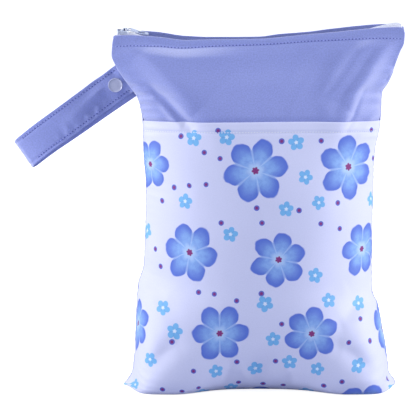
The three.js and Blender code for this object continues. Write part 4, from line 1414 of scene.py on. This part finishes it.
@dataclass
class Zip:
    """Tapes, coil and end stop along the mouth. The slider and its pull are built by Slider."""

    shape: BagShape
    finishes: Finishes
    coil_width: float = 0.0024
    coil_height: float = 0.0024
    tape_cloth: float = 0.0007
    tape_drop: float = 0.013
    end_inset: float = 0.002
    stop_length: float = 0.003
    coil_pitch: float = 0.0016
    thread: float = 0.00042
    tape_wave: float = 0.00008
    tape_wave_rate: float = 900.0
    core_radius: float = 0.0007
    stop_rise: float = 0.0008
    rise: tuple = (
        (-1, 0.52), (-0.985, 0.52), (-0.96, 0.52), (-0.88, 0.5), (-0.8, 0.2), (-0.7, -0.18), (-0.5, -0.47),
        (-0.35, -0.4), (0, -0.34), (0.15, -0.2), (0.33, 0.06), (0.5, 0.22), (0.66, 0.52), (0.84, 1.15),
        (0.95, 1.43), (0.98, 1.22), (1, 0.95),
    )

    def __post_init__(self) -> None:
        """Works out where the zip ends."""
        self.end = float(self.shape.half_width(np.array([1.0]), np.array([1.0]))[0]) - self.end_inset

    def top(self, x: Array) -> Array:
        """Height of the top of the coil."""
        across = x / (self.shape.top_width / 2)
        return self.shape.height + self.shape.mouth_rise * follow(self.rise, across)

    def tape(self, face: Face) -> Piece:
        """One tape: a strip down from the coil's top, with a rounded upper edge and a slightly wavy outside.

        Args:
            face: Front or back.

        Returns:
            The new object.
        """
        x, t = np.meshgrid(np.linspace(-self.end, self.end, 180), np.linspace(0, 1, 12))
        near = self.coil_width / 2 + self.shape.clearance
        z = self.top(x) - self.tape_drop * (1 - t)
        wave = self.tape_wave * np.sin(x * self.tape_wave_rate)
        inner = np.stack([x, face.value * near + 0 * x, z], axis=-1)
        outer = np.stack([x, face.value * (near + self.tape_cloth) + wave, z], axis=-1)
        if face is Face.BACK:
            outer, inner = outer[:, ::-1], inner[:, ::-1]
        points, faces = folded_wall(outer, inner, 4)
        places = wall_places(flat_places(outer, 0), 4)
        side = "front" if face is Face.FRONT else "back"
        nodes = (f"zipper_tape_{side}",)
        return make_piece(f"zip_tape_{side}", points, faces, self.finishes.tape, "bag", "zip_tape", nodes, places)

    def coil(self) -> Piece:
        """The closed coil: a flattened helix, x advancing by one pitch a turn, round an oval of the coil's width and
        height, over a thin core.

        Returns:
            The new object.
        """
        end = self.end - self.stop_length - self.shape.clearance
        turns = (end + self.end) / self.coil_pitch
        angle = np.linspace(0, 2 * math.pi * turns, int(turns * 10))
        x = -self.end + angle / (2 * math.pi) * self.coil_pitch
        half_y = self.coil_width / 2 - self.thread
        half_z = self.coil_height / 2 - self.thread
        middle = self.top(x) - self.coil_height / 2
        path = np.stack([x, half_y * np.cos(angle), middle + half_z * np.sin(angle)], axis=-1)
        helix = tube(path, np.full(len(path), self.thread), 5)
        along = np.linspace(-self.end, end, 160)
        core = np.stack([along, 0 * along, self.top(along) - self.coil_height / 2], axis=-1)
        points, faces = joined([helix, tube(core, np.full(160, self.core_radius), 8)])
        return make_piece("zip_coil_teeth", points, faces, self.finishes.coil, "bag", "zip_coil", ("zipper_coil",))

    def stop(self) -> Piece:
        """The moulded stop at the right end, a rounded block.

        Returns:
            The new object.
        """
        x = self.end - self.stop_length / 2
        z = float(self.top(np.array([x]))[0]) - self.coil_height / 2
        size = (self.stop_length, self.coil_width, self.coil_height + self.stop_rise)
        points, faces = rounded_block(np.array([x, 0.0, z]), size, 5.0)
        return make_piece("zip_stop", points, faces, self.finishes.coil, "bag", "snap_plastic", ("zipper_end_stop",))


# Blocks of the slider's nose: place along and across from its middle, size, power and steps.
NOSE_BLOCKS = (
    (-0.0036, -0.0014, (0.0054, 0.0030, 0.0035), 2.4, 16),
    (-0.0042, 0.0012, (0.0040, 0.0030, 0.0022), 2.0, 16),
    (-0.0002, -0.0005, (0.0026, 0.0014, 0.0024), 3.0, 12),
)


@dataclass
class Slider:
    """The zip slider with its crown, and the pull that hangs in it."""

    zip_line: Zip
    finishes: Finishes
    length: float = 0.0125
    inset: float = 0.0002
    plate: float = 0.0018
    cheek: float = 0.0012
    cheek_drop: float = 0.0020
    crown_width: float = 0.0014
    crown_wall: float = 0.0011
    crown_span: float = 0.0014
    bar: float = 0.0012
    pull_width: float = 0.0052
    pull_length: float = 0.023
    pull_taper: float = 0.3
    pull_arm: float = 0.0013
    pull_tip: float = 0.0035
    pull_drop: float = 0.0036
    pull_slot: float = 0.007
    pull_hook: float = 0.0008
    pull_thickness: float = 0.00096
    tilt: float = math.radians(38)
    # A dark block in the crown's eye and a dark ring on the nose: painted shade and a painted reflection.
    eye_shade_back: float = 0.00155
    eye_shade_size: tuple = (0.0015, 0.0010, 0.0019)
    oval_place: tuple = (-0.0036, -0.0027, 0.0010)
    oval_size: tuple = (0.0016, 0.0003, 0.0004)
    oval_wire: float = 0.00022

    def __post_init__(self) -> None:
        """Works out where the slider stands and where its pull turns."""
        shape, line = self.zip_line.shape, self.zip_line
        tape_far = line.coil_width / 2 + shape.clearance + line.tape_cloth
        self.width = 2 * (tape_far + shape.clearance + self.cheek)
        self.x = self.inset - line.end + self.length / 2
        self.under = float(line.top(np.array([self.x]))[0]) + shape.clearance
        self.top = self.under + self.plate
        self.hole = self.bar / 2 + shape.clearance
        self.axis = np.array(
            [self.x + self.length / 2 - self.crown_wall - shape.clearance - self.bar, 0.0, self.top + self.hole]
        )

    def body(self) -> Piece:
        """The slider: a rounded plate, two cheeks, a raised nose of three blocks and a crown, which arches over the
        bar.

        Returns:
            The new object.
        """
        cheek_y = self.width / 2 - self.cheek / 2
        tall = self.cheek_drop + self.plate
        middle = np.array([self.x, 0.0, self.top - self.plate / 2])
        parts = [rounded_block(middle, (self.length, self.width, self.plate), 3.4, 24)]
        for along, aside, size, power, steps in NOSE_BLOCKS:
            parts.append(rounded_block(np.array([self.x + along, aside, self.top]), size, power, steps))
        for side in (-1, 1):
            centre = np.array([self.x, side * cheek_y, self.top - tall / 2])
            parts.append(rounded_block(centre, (0.8 * self.length, self.cheek, tall), 4.0, 14))
        radius = self.hole + self.crown_wall / 2
        turn = np.linspace(0, math.pi / 2, 9)
        foot = self.top - self.plate / 2
        x, z = self.axis[0], self.axis[2]
        right = np.stack([x + radius * np.cos(turn), z + radius * np.sin(turn)], axis=1)
        left = np.stack([x - self.crown_span - radius * np.sin(turn), z + radius * np.cos(turn)], axis=1)
        flat = np.concatenate([[[right[0, 0], foot]], right, left, [[left[-1, 0], foot]]])
        path = np.stack([flat[:, 0], 0 * flat[:, 0], flat[:, 1]], axis=1)
        across = np.tile([0.0, 1.0, 0.0], (len(path), 1))
        parts.append(swept(path, across, np.full(len(path), self.crown_width), np.full(len(path), self.crown_wall)))
        points, faces = joined(parts)
        return make_piece("slider_shell", points, faces, self.finishes.enamel, "bag", "slider_enamel", ("slider_body",))

    def lock(self) -> Piece:
        """Painted shade and reflection on the slider: a dark block in the crown, beside the bar, for the shade in the
        crown's eye, and a dark oval ring pressed into the nose, a painted reflection in its dish.

        Returns:
            The new object.
        """
        eye_shade = rounded_block(self.axis - np.array([self.eye_shade_back, 0.0, 0.0]), self.eye_shade_size, 4.0, 12)
        turn = np.linspace(0, 2 * math.pi, 28, endpoint=False)
        middle = np.array([self.x, 0.0, self.top]) + self.oval_place
        oval = middle + np.stack([np.cos(turn), np.sin(turn), np.sin(turn)], axis=1) * self.oval_size
        parts = [eye_shade, tube(oval, np.full(28, self.oval_wire), 8, closed=True)]
        return make_piece("slider_shade_marks", *joined(parts), self.finishes.painted_shade_finish, "bag", "slider_enamel")

    def pull_part(self, start: float, end: float, side: float, wide: float | None, steps: int = 24) -> Mesh:
        """A length of the pull: a rail along one side of it, or a plate over its whole width.

        The middle line drops by a smooth step from the bar to the tip and hooks down at the end. The plate leans
        towards the front by an angle that grows from nothing at the bar, and narrows towards the tip.

        Args:
            start: Where it starts, as a share of the length.
            end: Where it ends.
            side: -1 or 1 for a rail, 0 for a plate.
            wide: Width of a rail, or None for a plate.
            steps: Steps along it.

        Returns:
            The points and the faces.
        """
        t = np.linspace(start, end, steps)
        drop = self.pull_drop * smoothstep(t, 0.12, 0.8) + self.pull_hook * np.maximum(0, t - 0.85) / 0.15
        lean = self.tilt * smoothstep(t, 0.02, 0.24)
        across = np.stack([0 * t, np.cos(lean), np.sin(lean)], axis=1)
        whole = self.pull_width * (1 - self.pull_taper * t)
        section = whole if wide is None else np.full(steps, wide)
        end_round = np.clip(np.minimum(t - start, end - t) * self.pull_length / 0.0005, 0, 1)
        section = section * (0.8 + 0.2 * np.sqrt(end_round))
        offset = side * (whole - (0 if wide is None else wide)) / 2
        path = self.axis + np.stack([self.pull_length * t, 0 * t, -drop], axis=1) + offset[:, None] * across
        return swept(path, across, section, self.pull_thickness * (0.7 + 0.3 * np.sqrt(end_round)))

    def pull(self) -> Piece:
        """The pull: two rails from the bar to the tip, joined by the bar, a plate past the eye and a pointed tip.

        Returns:
            The new object.
        """
        eye = (self.bar + self.crown_span + self.crown_wall + 0.0012) / self.pull_length
        slot_end = 1 - self.pull_tip / self.pull_length
        slot_start = slot_end - self.pull_slot / self.pull_length
        y = np.linspace(-self.pull_width / 2, self.pull_width / 2, 9)
        bar_path = self.axis + np.stack([0 * y, y, 0 * y], axis=1)
        parts = [
            tube(bar_path, np.full(9, self.bar / 2), 16),
            self.pull_part(0.0, 0.99, -1, self.pull_arm),
            self.pull_part(0.0, 0.99, 1, self.pull_arm),
            self.pull_part(eye, slot_start, 0, None),
            self.pull_part(slot_end, 1.0, 0, None, 12),
        ]
        return make_piece("pull_plate", *joined(parts), self.finishes.enamel, "pull", "slider_enamel", ("pull_tab",))


# ---------------------------------------------------------------- strap and snap


@dataclass
class Strap:
    """The wrist strap: a band that leaves the left seam, turns back on itself and is held by a snap."""

    shape: BagShape
    finishes: Finishes
    length: float = 0.132
    cloth: float = 0.0016
    angle: float = math.radians(35.8)
    root: float = 0.008
    fold_radius: float = 0.0042
    skew: float = 0.006
    droop: float = 0.0026
    droop_start: float = 0.7
    bow: float = 0.006
    bow_start: float = 0.026
    bow_end: float = 0.078
    turn_back: float = 0.012
    turn_back_start: float = 0.084
    turn_back_span: float = 0.048
    snap_from_seam: float = 0.011
    free_end: float = 0.0105
    snap_grip: float = 0.0015
    snap_diameter: float = 0.015
    snap_height: float = 0.0016
    edge_row: float = 0.0128
    edge_power: float = 0.55
    face_power: float = 0.28
    spoke_relief: float = 0.0007
    valley_relief: float = -0.0016
    ridge_relief: float = 0.0015
    gather_relief: float = 0.0010
    edge_relief: float = -0.0004
    slow_relief: float = 0.0004
    dip_relief: float = -0.0024

    def __post_init__(self) -> None:
        """Works out where the strap starts, the way that it runs and the space between its layers."""
        shape = self.shape
        along = shape.along_on_seam(shape.strap_seam_height)
        half = float(shape.half_width(np.array([-1.0]), np.array([along]))[0])
        self.start = np.array([-half, 0.0, shape.strap_seam_height])
        self.run = np.array([-math.cos(self.angle), 0.0, -math.sin(self.angle)])
        self.way = np.array([math.sin(self.angle), 0.0, -math.cos(self.angle)])
        self.layer_step = self.cloth + 2 * self.snap_grip + 3 * shape.clearance

    def line(self, length: Array) -> tuple[Array, Array, Array, Array]:
        """The strap's middle line by the distance from its sewn end.

        Args:
            length: Distances.

        Returns:
            The run along the strap, the depth behind it, the way that its thickness faces and the skew.
        """
        turn = self.length - self.fold_radius
        front = turn + self.root
        arc = math.pi * self.fold_radius
        rear = turn - (self.snap_from_seam - self.free_end)
        share = np.clip((length - front - arc) / rear, 0, 1)
        angle = np.clip((length - front) / self.fold_radius, 0, math.pi)
        run = np.where(
            length <= front,
            length - self.root,
            np.where(length <= front + arc, turn + self.fold_radius * np.sin(angle), turn - share * rear),
        )
        back = lerp(2 * self.fold_radius, self.layer_step, smoothstep(share, 0, 0.85))
        depth = np.where(length <= front + arc, self.fold_radius * (1 - np.cos(angle)), back)
        far = np.maximum(0, run / self.length - self.droop_start) / (1 - self.droop_start)
        skew = 0.5 * self.skew * (angle / math.pi + share) + self.droop * far**2
        end = np.maximum(0, run - self.turn_back_start) / self.turn_back_span
        forward = self.bow * smoothstep(run, self.bow_start, self.bow_end) - self.turn_back * end**2
        return run, depth - forward, angle, skew

    def creases(self, run: Array, sideways: Array) -> Array:
        """Relief of the front layer: creases that run out from the snap, as the snap draws the cloth in, a fold from
        the snap to the lower edge, gathers along the lower stitches, a soft hollow along each row of them, and a dip
        beside the seam.

        Args:
            run: Distances along the strap.
            sideways: Distances from its middle line.

        Returns:
            Their relief, in metres.
        """
        from_snap = np.hypot(run - self.snap_from_seam, sideways)
        turn = np.arctan2(sideways, run - self.snap_from_seam)
        spokes = np.cos(turn * 5 + 0.6) * np.exp(-(((from_snap - 0.018) / 0.009) ** 2))
        slant = sideways - 0.001 - 0.16 * (run - 0.02)
        valley = np.exp(-((slant / 0.0042) ** 2)) * smoothstep(run, 0.016, 0.026) * (1 - smoothstep(run, 0.05, 0.075))
        ridge = np.exp(-(((slant + 0.0065) / 0.0045) ** 2)) * smoothstep(run, 0.02, 0.035)
        ridge = ridge * (1 - smoothstep(run, 0.06, 0.09))
        gathers = np.sin(run * 2 * math.pi / 0.0125) * np.exp(-(((sideways - 0.0095) / 0.0042) ** 2))
        gathers = gathers * smoothstep(run, 0.024, 0.036) * (1 - smoothstep(run, 0.075, 0.1))
        edge = np.exp(-(((np.abs(sideways) - self.edge_row) / 0.0013) ** 2))
        slow = np.sin(run * 90 + sideways * 150) * smoothstep(run, 0.03, 0.05)
        dip = smoothstep(sideways, 0.001, 0.013) * smoothstep(run, 0.0, 0.006) * (1 - smoothstep(run, 0.018, 0.045))
        relief = self.spoke_relief * spokes + self.valley_relief * valley + self.ridge_relief * ridge
        relief = relief + self.gather_relief * gathers
        return relief + self.edge_relief * edge + self.slow_relief * slow + self.dip_relief * dip

    def points_at(self, length: Array, sideways: Array, thick: Array, relief: Array) -> Array:
        """Points of the band at a distance along, a place across and a height off its middle.

        Args:
            length: Distances along the band.
            sideways: Distances from its middle line.
            thick: Heights off its middle.
            relief: Relief of the creases.

        Returns:
            The points.
        """
        run, depth, angle, skew = self.line(length)
        off = thick + relief
        return (
            self.start
            + self.run * (run + off * np.sin(angle))[..., None]
            + self.way * (sideways + skew)[..., None]
            + np.array([0.0, 1.0, 0.0]) * (depth - off * np.cos(angle))[..., None]
        )

    def band(self) -> Piece:
        """The sewn band: an oval section, flat in the middle and rounded at its edges, carried along the line.

        Returns:
            The new object.
        """
        turn = self.length - self.fold_radius
        total = turn + self.root + math.pi * self.fold_radius + turn - self.snap_from_seam + self.free_end
        lengths = np.linspace(0, total, 240)
        section = np.linspace(0, 2 * math.pi, 72, endpoint=False)
        side = self.shape.strap_width / 2 * np.sign(np.cos(section)) * np.abs(np.cos(section)) ** self.edge_power
        thick = self.cloth / 2 * np.sign(np.sin(section)) * np.abs(np.sin(section)) ** self.face_power
        length, sideways = np.meshgrid(lengths, side, indexing="ij")
        flat = np.broadcast_to(thick, length.shape)
        run, _, angle, _ = self.line(length)
        relief = self.creases(run, sideways) * (angle < math.pi / 2)
        waist = 1 + 0.012 * np.sin(length * 210) * np.exp(-(((length - 0.03) / 0.02) ** 2))
        points, faces = rings(self.points_at(length, sideways * waist, flat, relief))
        places = np.stack([sideways, length], axis=-1).reshape(-1, 2)
        cloth = self.finishes.strap
        piece = make_piece("strap_band", points, faces, cloth, "bag", "strap_cloth", ("strap_loop",), places)
        return piece

    def edge_stitches(self) -> list:
        """Two rows of stitches along the edges of the front layer and of the rear one.

        Returns:
            The new objects.
        """
        turn = self.length - self.fold_radius + self.root
        spans = ((self.root, turn - 0.004), (turn + 0.016, turn + 0.13))
        pieces = []
        for kind, size, gap, radius, late, thread in STITCH_ROWS:
            rows = []
            for side, (low, high) in itertools.product((-1, 1), spans):
                length = np.linspace(low, high, 300)
                sideways = np.full(300, side * self.edge_row)
                run, _, angle, _ = self.line(length)
                relief = self.creases(run, sideways) * (angle < math.pi / 2)
                line = self.points_at(length, sideways, np.full(300, self.cloth / 2 + 0.0001), relief)
                rows.append(stitches(line, size, gap, radius, late))
            material = getattr(self.finishes, thread)
            pieces.append(make_piece(f"strap_edge_{kind}", *joined(rows), material, "bag", "strap_cloth"))
        return pieces

    def turned(self, profile: Array, depth: float, front: bool) -> Mesh:
        """A turned piece on the snap's line: (radius cos a, depth, radius sin a) about its centre. Its faces look
        inwards, on both caps.

        Args:
            profile: Rows of (radius, place along the line).
            depth: Where the profile starts.
            front: True for the cap that faces the front.

        Returns:
            The points and the faces.
        """
        centre = self.start + self.run * self.snap_from_seam
        a = np.linspace(0, 2 * math.pi, 48, endpoint=False)[None, :]
        radius, along = profile[:, :1], profile[:, 1:]
        ring = np.stack([radius * np.cos(a), along + 0 * a, radius * np.sin(a)], axis=-1)
        return rings(ring + np.array([centre[0], depth, centre[2]]), turned=front)

    def cap(self, front: bool) -> Piece:
        """A snap cap: a low dome with a rolled rim and a shallow dish in its middle.

        Args:
            front: True for the cap in front.

        Returns:
            The new object.
        """
        r, h = self.snap_diameter / 2, self.snap_height
        rows = np.array(
            [
                [r * 0.93, 0.0], [r * 0.99, h * 0.14], [r, h * 0.36], [r * 0.99, h * 0.62], [r * 0.97, h * 0.84],
                [r * 0.95, h * 0.97], [r * 0.93, h], [r * 0.905, h * 0.95], [r * 0.885, h * 0.8], [r * 0.86, h * 0.68],
                [r * 0.82, h * 0.62], [r * 0.5, h * 0.66], [r * 0.25, h * 0.72], [r * 0.02, h * 0.74],
            ]
        )
        off = self.cloth / 2 + self.shape.clearance
        if front:
            name, node, depth, way = "snap_cap_front", "snap_cap", -off, -1
        else:
            name, node, depth, way = "snap_cap_rear", "snap_back_cap", self.layer_step + off, 1
        points, faces = self.turned(rows * [1, way], depth, front)
        return make_piece(name, points, faces, self.finishes.snap, "bag", "snap_plastic", (node,))


# ---------------------------------------------------------------- studio


@dataclass
class Studio:
    """Camera, soft lights and a pale floor."""

    distance: float = 2.6
    elevation: float = math.radians(10)
    aim: tuple = (-0.0524, 0.0, 0.189)
    lens: float = 216.8
    floor_radius: float = 14.0
    cool: tuple = (0.70, 0.77, 1.0)

    def camera(self) -> None:
        """Looks at the bag from in front and a little above."""
        data = bpy.data.cameras.new("camera")
        data.lens = self.lens
        data.sensor_width = 36
        camera = bpy.data.objects.new("camera", data)
        camera.location = (
            self.aim[0],
            self.aim[1] - self.distance * math.cos(self.elevation),
            self.aim[2] + self.distance * math.sin(self.elevation),
        )
        camera.rotation_euler = (math.pi / 2 - self.elevation, 0, 0)
        bpy.context.scene.collection.objects.link(camera)
        bpy.context.scene.camera = camera

    def light(self, name: str, place: tuple, energy: float, size: float, colour: tuple = (1, 1, 1)) -> None:
        """One square soft light that faces the middle of the bag.

        Args:
            name: Name of the light.
            place: Where it stands.
            energy: Its power, in watts.
            size: Its side, in metres.
            colour: Its colour.
        """
        data = bpy.data.lights.new(name, "AREA")
        data.energy = energy
        data.size = size
        data.color = colour
        lamp = bpy.data.objects.new(name, data)
        away = np.array(place) - np.array([0.0, 0.0, 0.19])
        flat = math.hypot(away[0], away[1])
        lamp.location = place
        lamp.rotation_euler = (math.atan2(flat, away[2]), 0, math.atan2(away[1], away[0]) + math.pi / 2)
        bpy.context.scene.collection.objects.link(lamp)

    def lights(self) -> None:
        """Strong lights left and right, a weaker one in front, one above and one behind."""
        self.light("left_light", (-1.9, -0.35, 0.85), 35, 0.7)
        self.light("right_light", (1.9, -0.35, 0.85), 36, 0.7)
        self.light("front_light", (0.0, -2.2, 1.3), 8.2, 1.4, self.cool)
        self.light("top_light", (0.0, 0.2, 1.9), 5, 1.2, self.cool)
        self.light("back_light", (0.0, 1.9, 1.1), 12, 1.4)

    def world(self) -> None:
        """A white surround, weaker as light than it looks."""
        world = bpy.data.worlds.new("surround")
        world.use_nodes = True
        desk = Desk(world.node_tree)
        background = world.node_tree.nodes["Background"]
        seen = desk.put("ShaderNodeLightPath").outputs["Is Camera Ray"]
        desk.feed(background.inputs["Color"], desk.mix(seen, (*self.cool, 1), (1, 1, 1, 1)))
        desk.feed(background.inputs["Strength"], desk.ramp(seen, 0.0, 1.0, 0.31, 1.0))
        bpy.context.scene.world = world

    def floor(self) -> None:
        """A wide pale disc under the bag."""
        a = np.linspace(0, 2 * math.pi, 96, endpoint=False)
        points = np.stack([self.floor_radius * np.cos(a), self.floor_radius * np.sin(a), 0 * a - 0.0002], axis=-1)
        mesh = bpy.data.meshes.new("floor")
        mesh.from_pydata(points.tolist(), [], [tuple(range(96))])
        material, desk, shader = new_material("pale_floor")
        place = desk.put("ShaderNodeTexCoord").outputs["Object"]
        grain = desk.noise(place, 3.0, 2.0)
        seen = desk.put("ShaderNodeLightPath").outputs["Is Camera Ray"]
        pale = desk.mix(grain, linear(246, 246, 249), linear(250, 250, 252))
        desk.feed(shader.inputs["Base Color"], desk.mix(seen, linear(192, 196, 212), pale))
        shader.inputs["Roughness"].default_value = 0.9
        shader.inputs["Specular IOR Level"].default_value = 0.1
        shader.inputs["Emission Color"].default_value = (1, 1, 1, 1)
        desk.feed(shader.inputs["Emission Strength"], desk.math("MULTIPLY", seen, 0.9))
        mesh.materials.append(material)
        floor = bpy.data.objects.new("floor", mesh)
        bpy.context.scene.collection.objects.link(floor)

    def build(self) -> None:
        """Makes the whole studio."""
        self.camera()
        self.lights()
        self.world()
        self.floor()
        bpy.context.scene.view_settings.view_transform = "Standard"


def dress_node(name: str, material: Material) -> None:
    """Gives a carried-over CAD node its finish.

    Args:
        name: Name of the node.
        material: Its finish.
    """
    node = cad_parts[name]
    node.data.materials.clear()
    node.data.materials.append(material)


def main() -> None:
    """Builds every piece in order and reports it."""
    finishes = Finishes()
    Studio().build()
    shape = BagShape()
    panels = Panels(shape, finishes)
    panels.pocket()
    panels.yoke()
    panels.back()
    panels.seam_welt(-1.0, 0.855)
    panels.seam_welt(1.0, 0.925)
    panels.seam_end(-1.0, 0.963)
    panels.seam_end(1.0, 0.925)
    panels.stitching()
    zip_line = Zip(shape, finishes)
    zip_line.tape(Face.FRONT)
    zip_line.tape(Face.BACK)
    zip_line.coil()
    zip_line.stop()
    slider = Slider(zip_line, finishes)
    slider.body()
    slider.lock()
    slider.pull()
    strap = Strap(shape, finishes)
    strap.band()
    strap.edge_stitches()
    strap.cap(True)
    strap.cap(False)
    for name in ("snap_socket", "snap_stud"):
        dress_node(name, finishes.snap)


if __name__ == "__main__":
    logging.basicConfig(level=logging.INFO, format="%(name)s %(message)s")
    main()
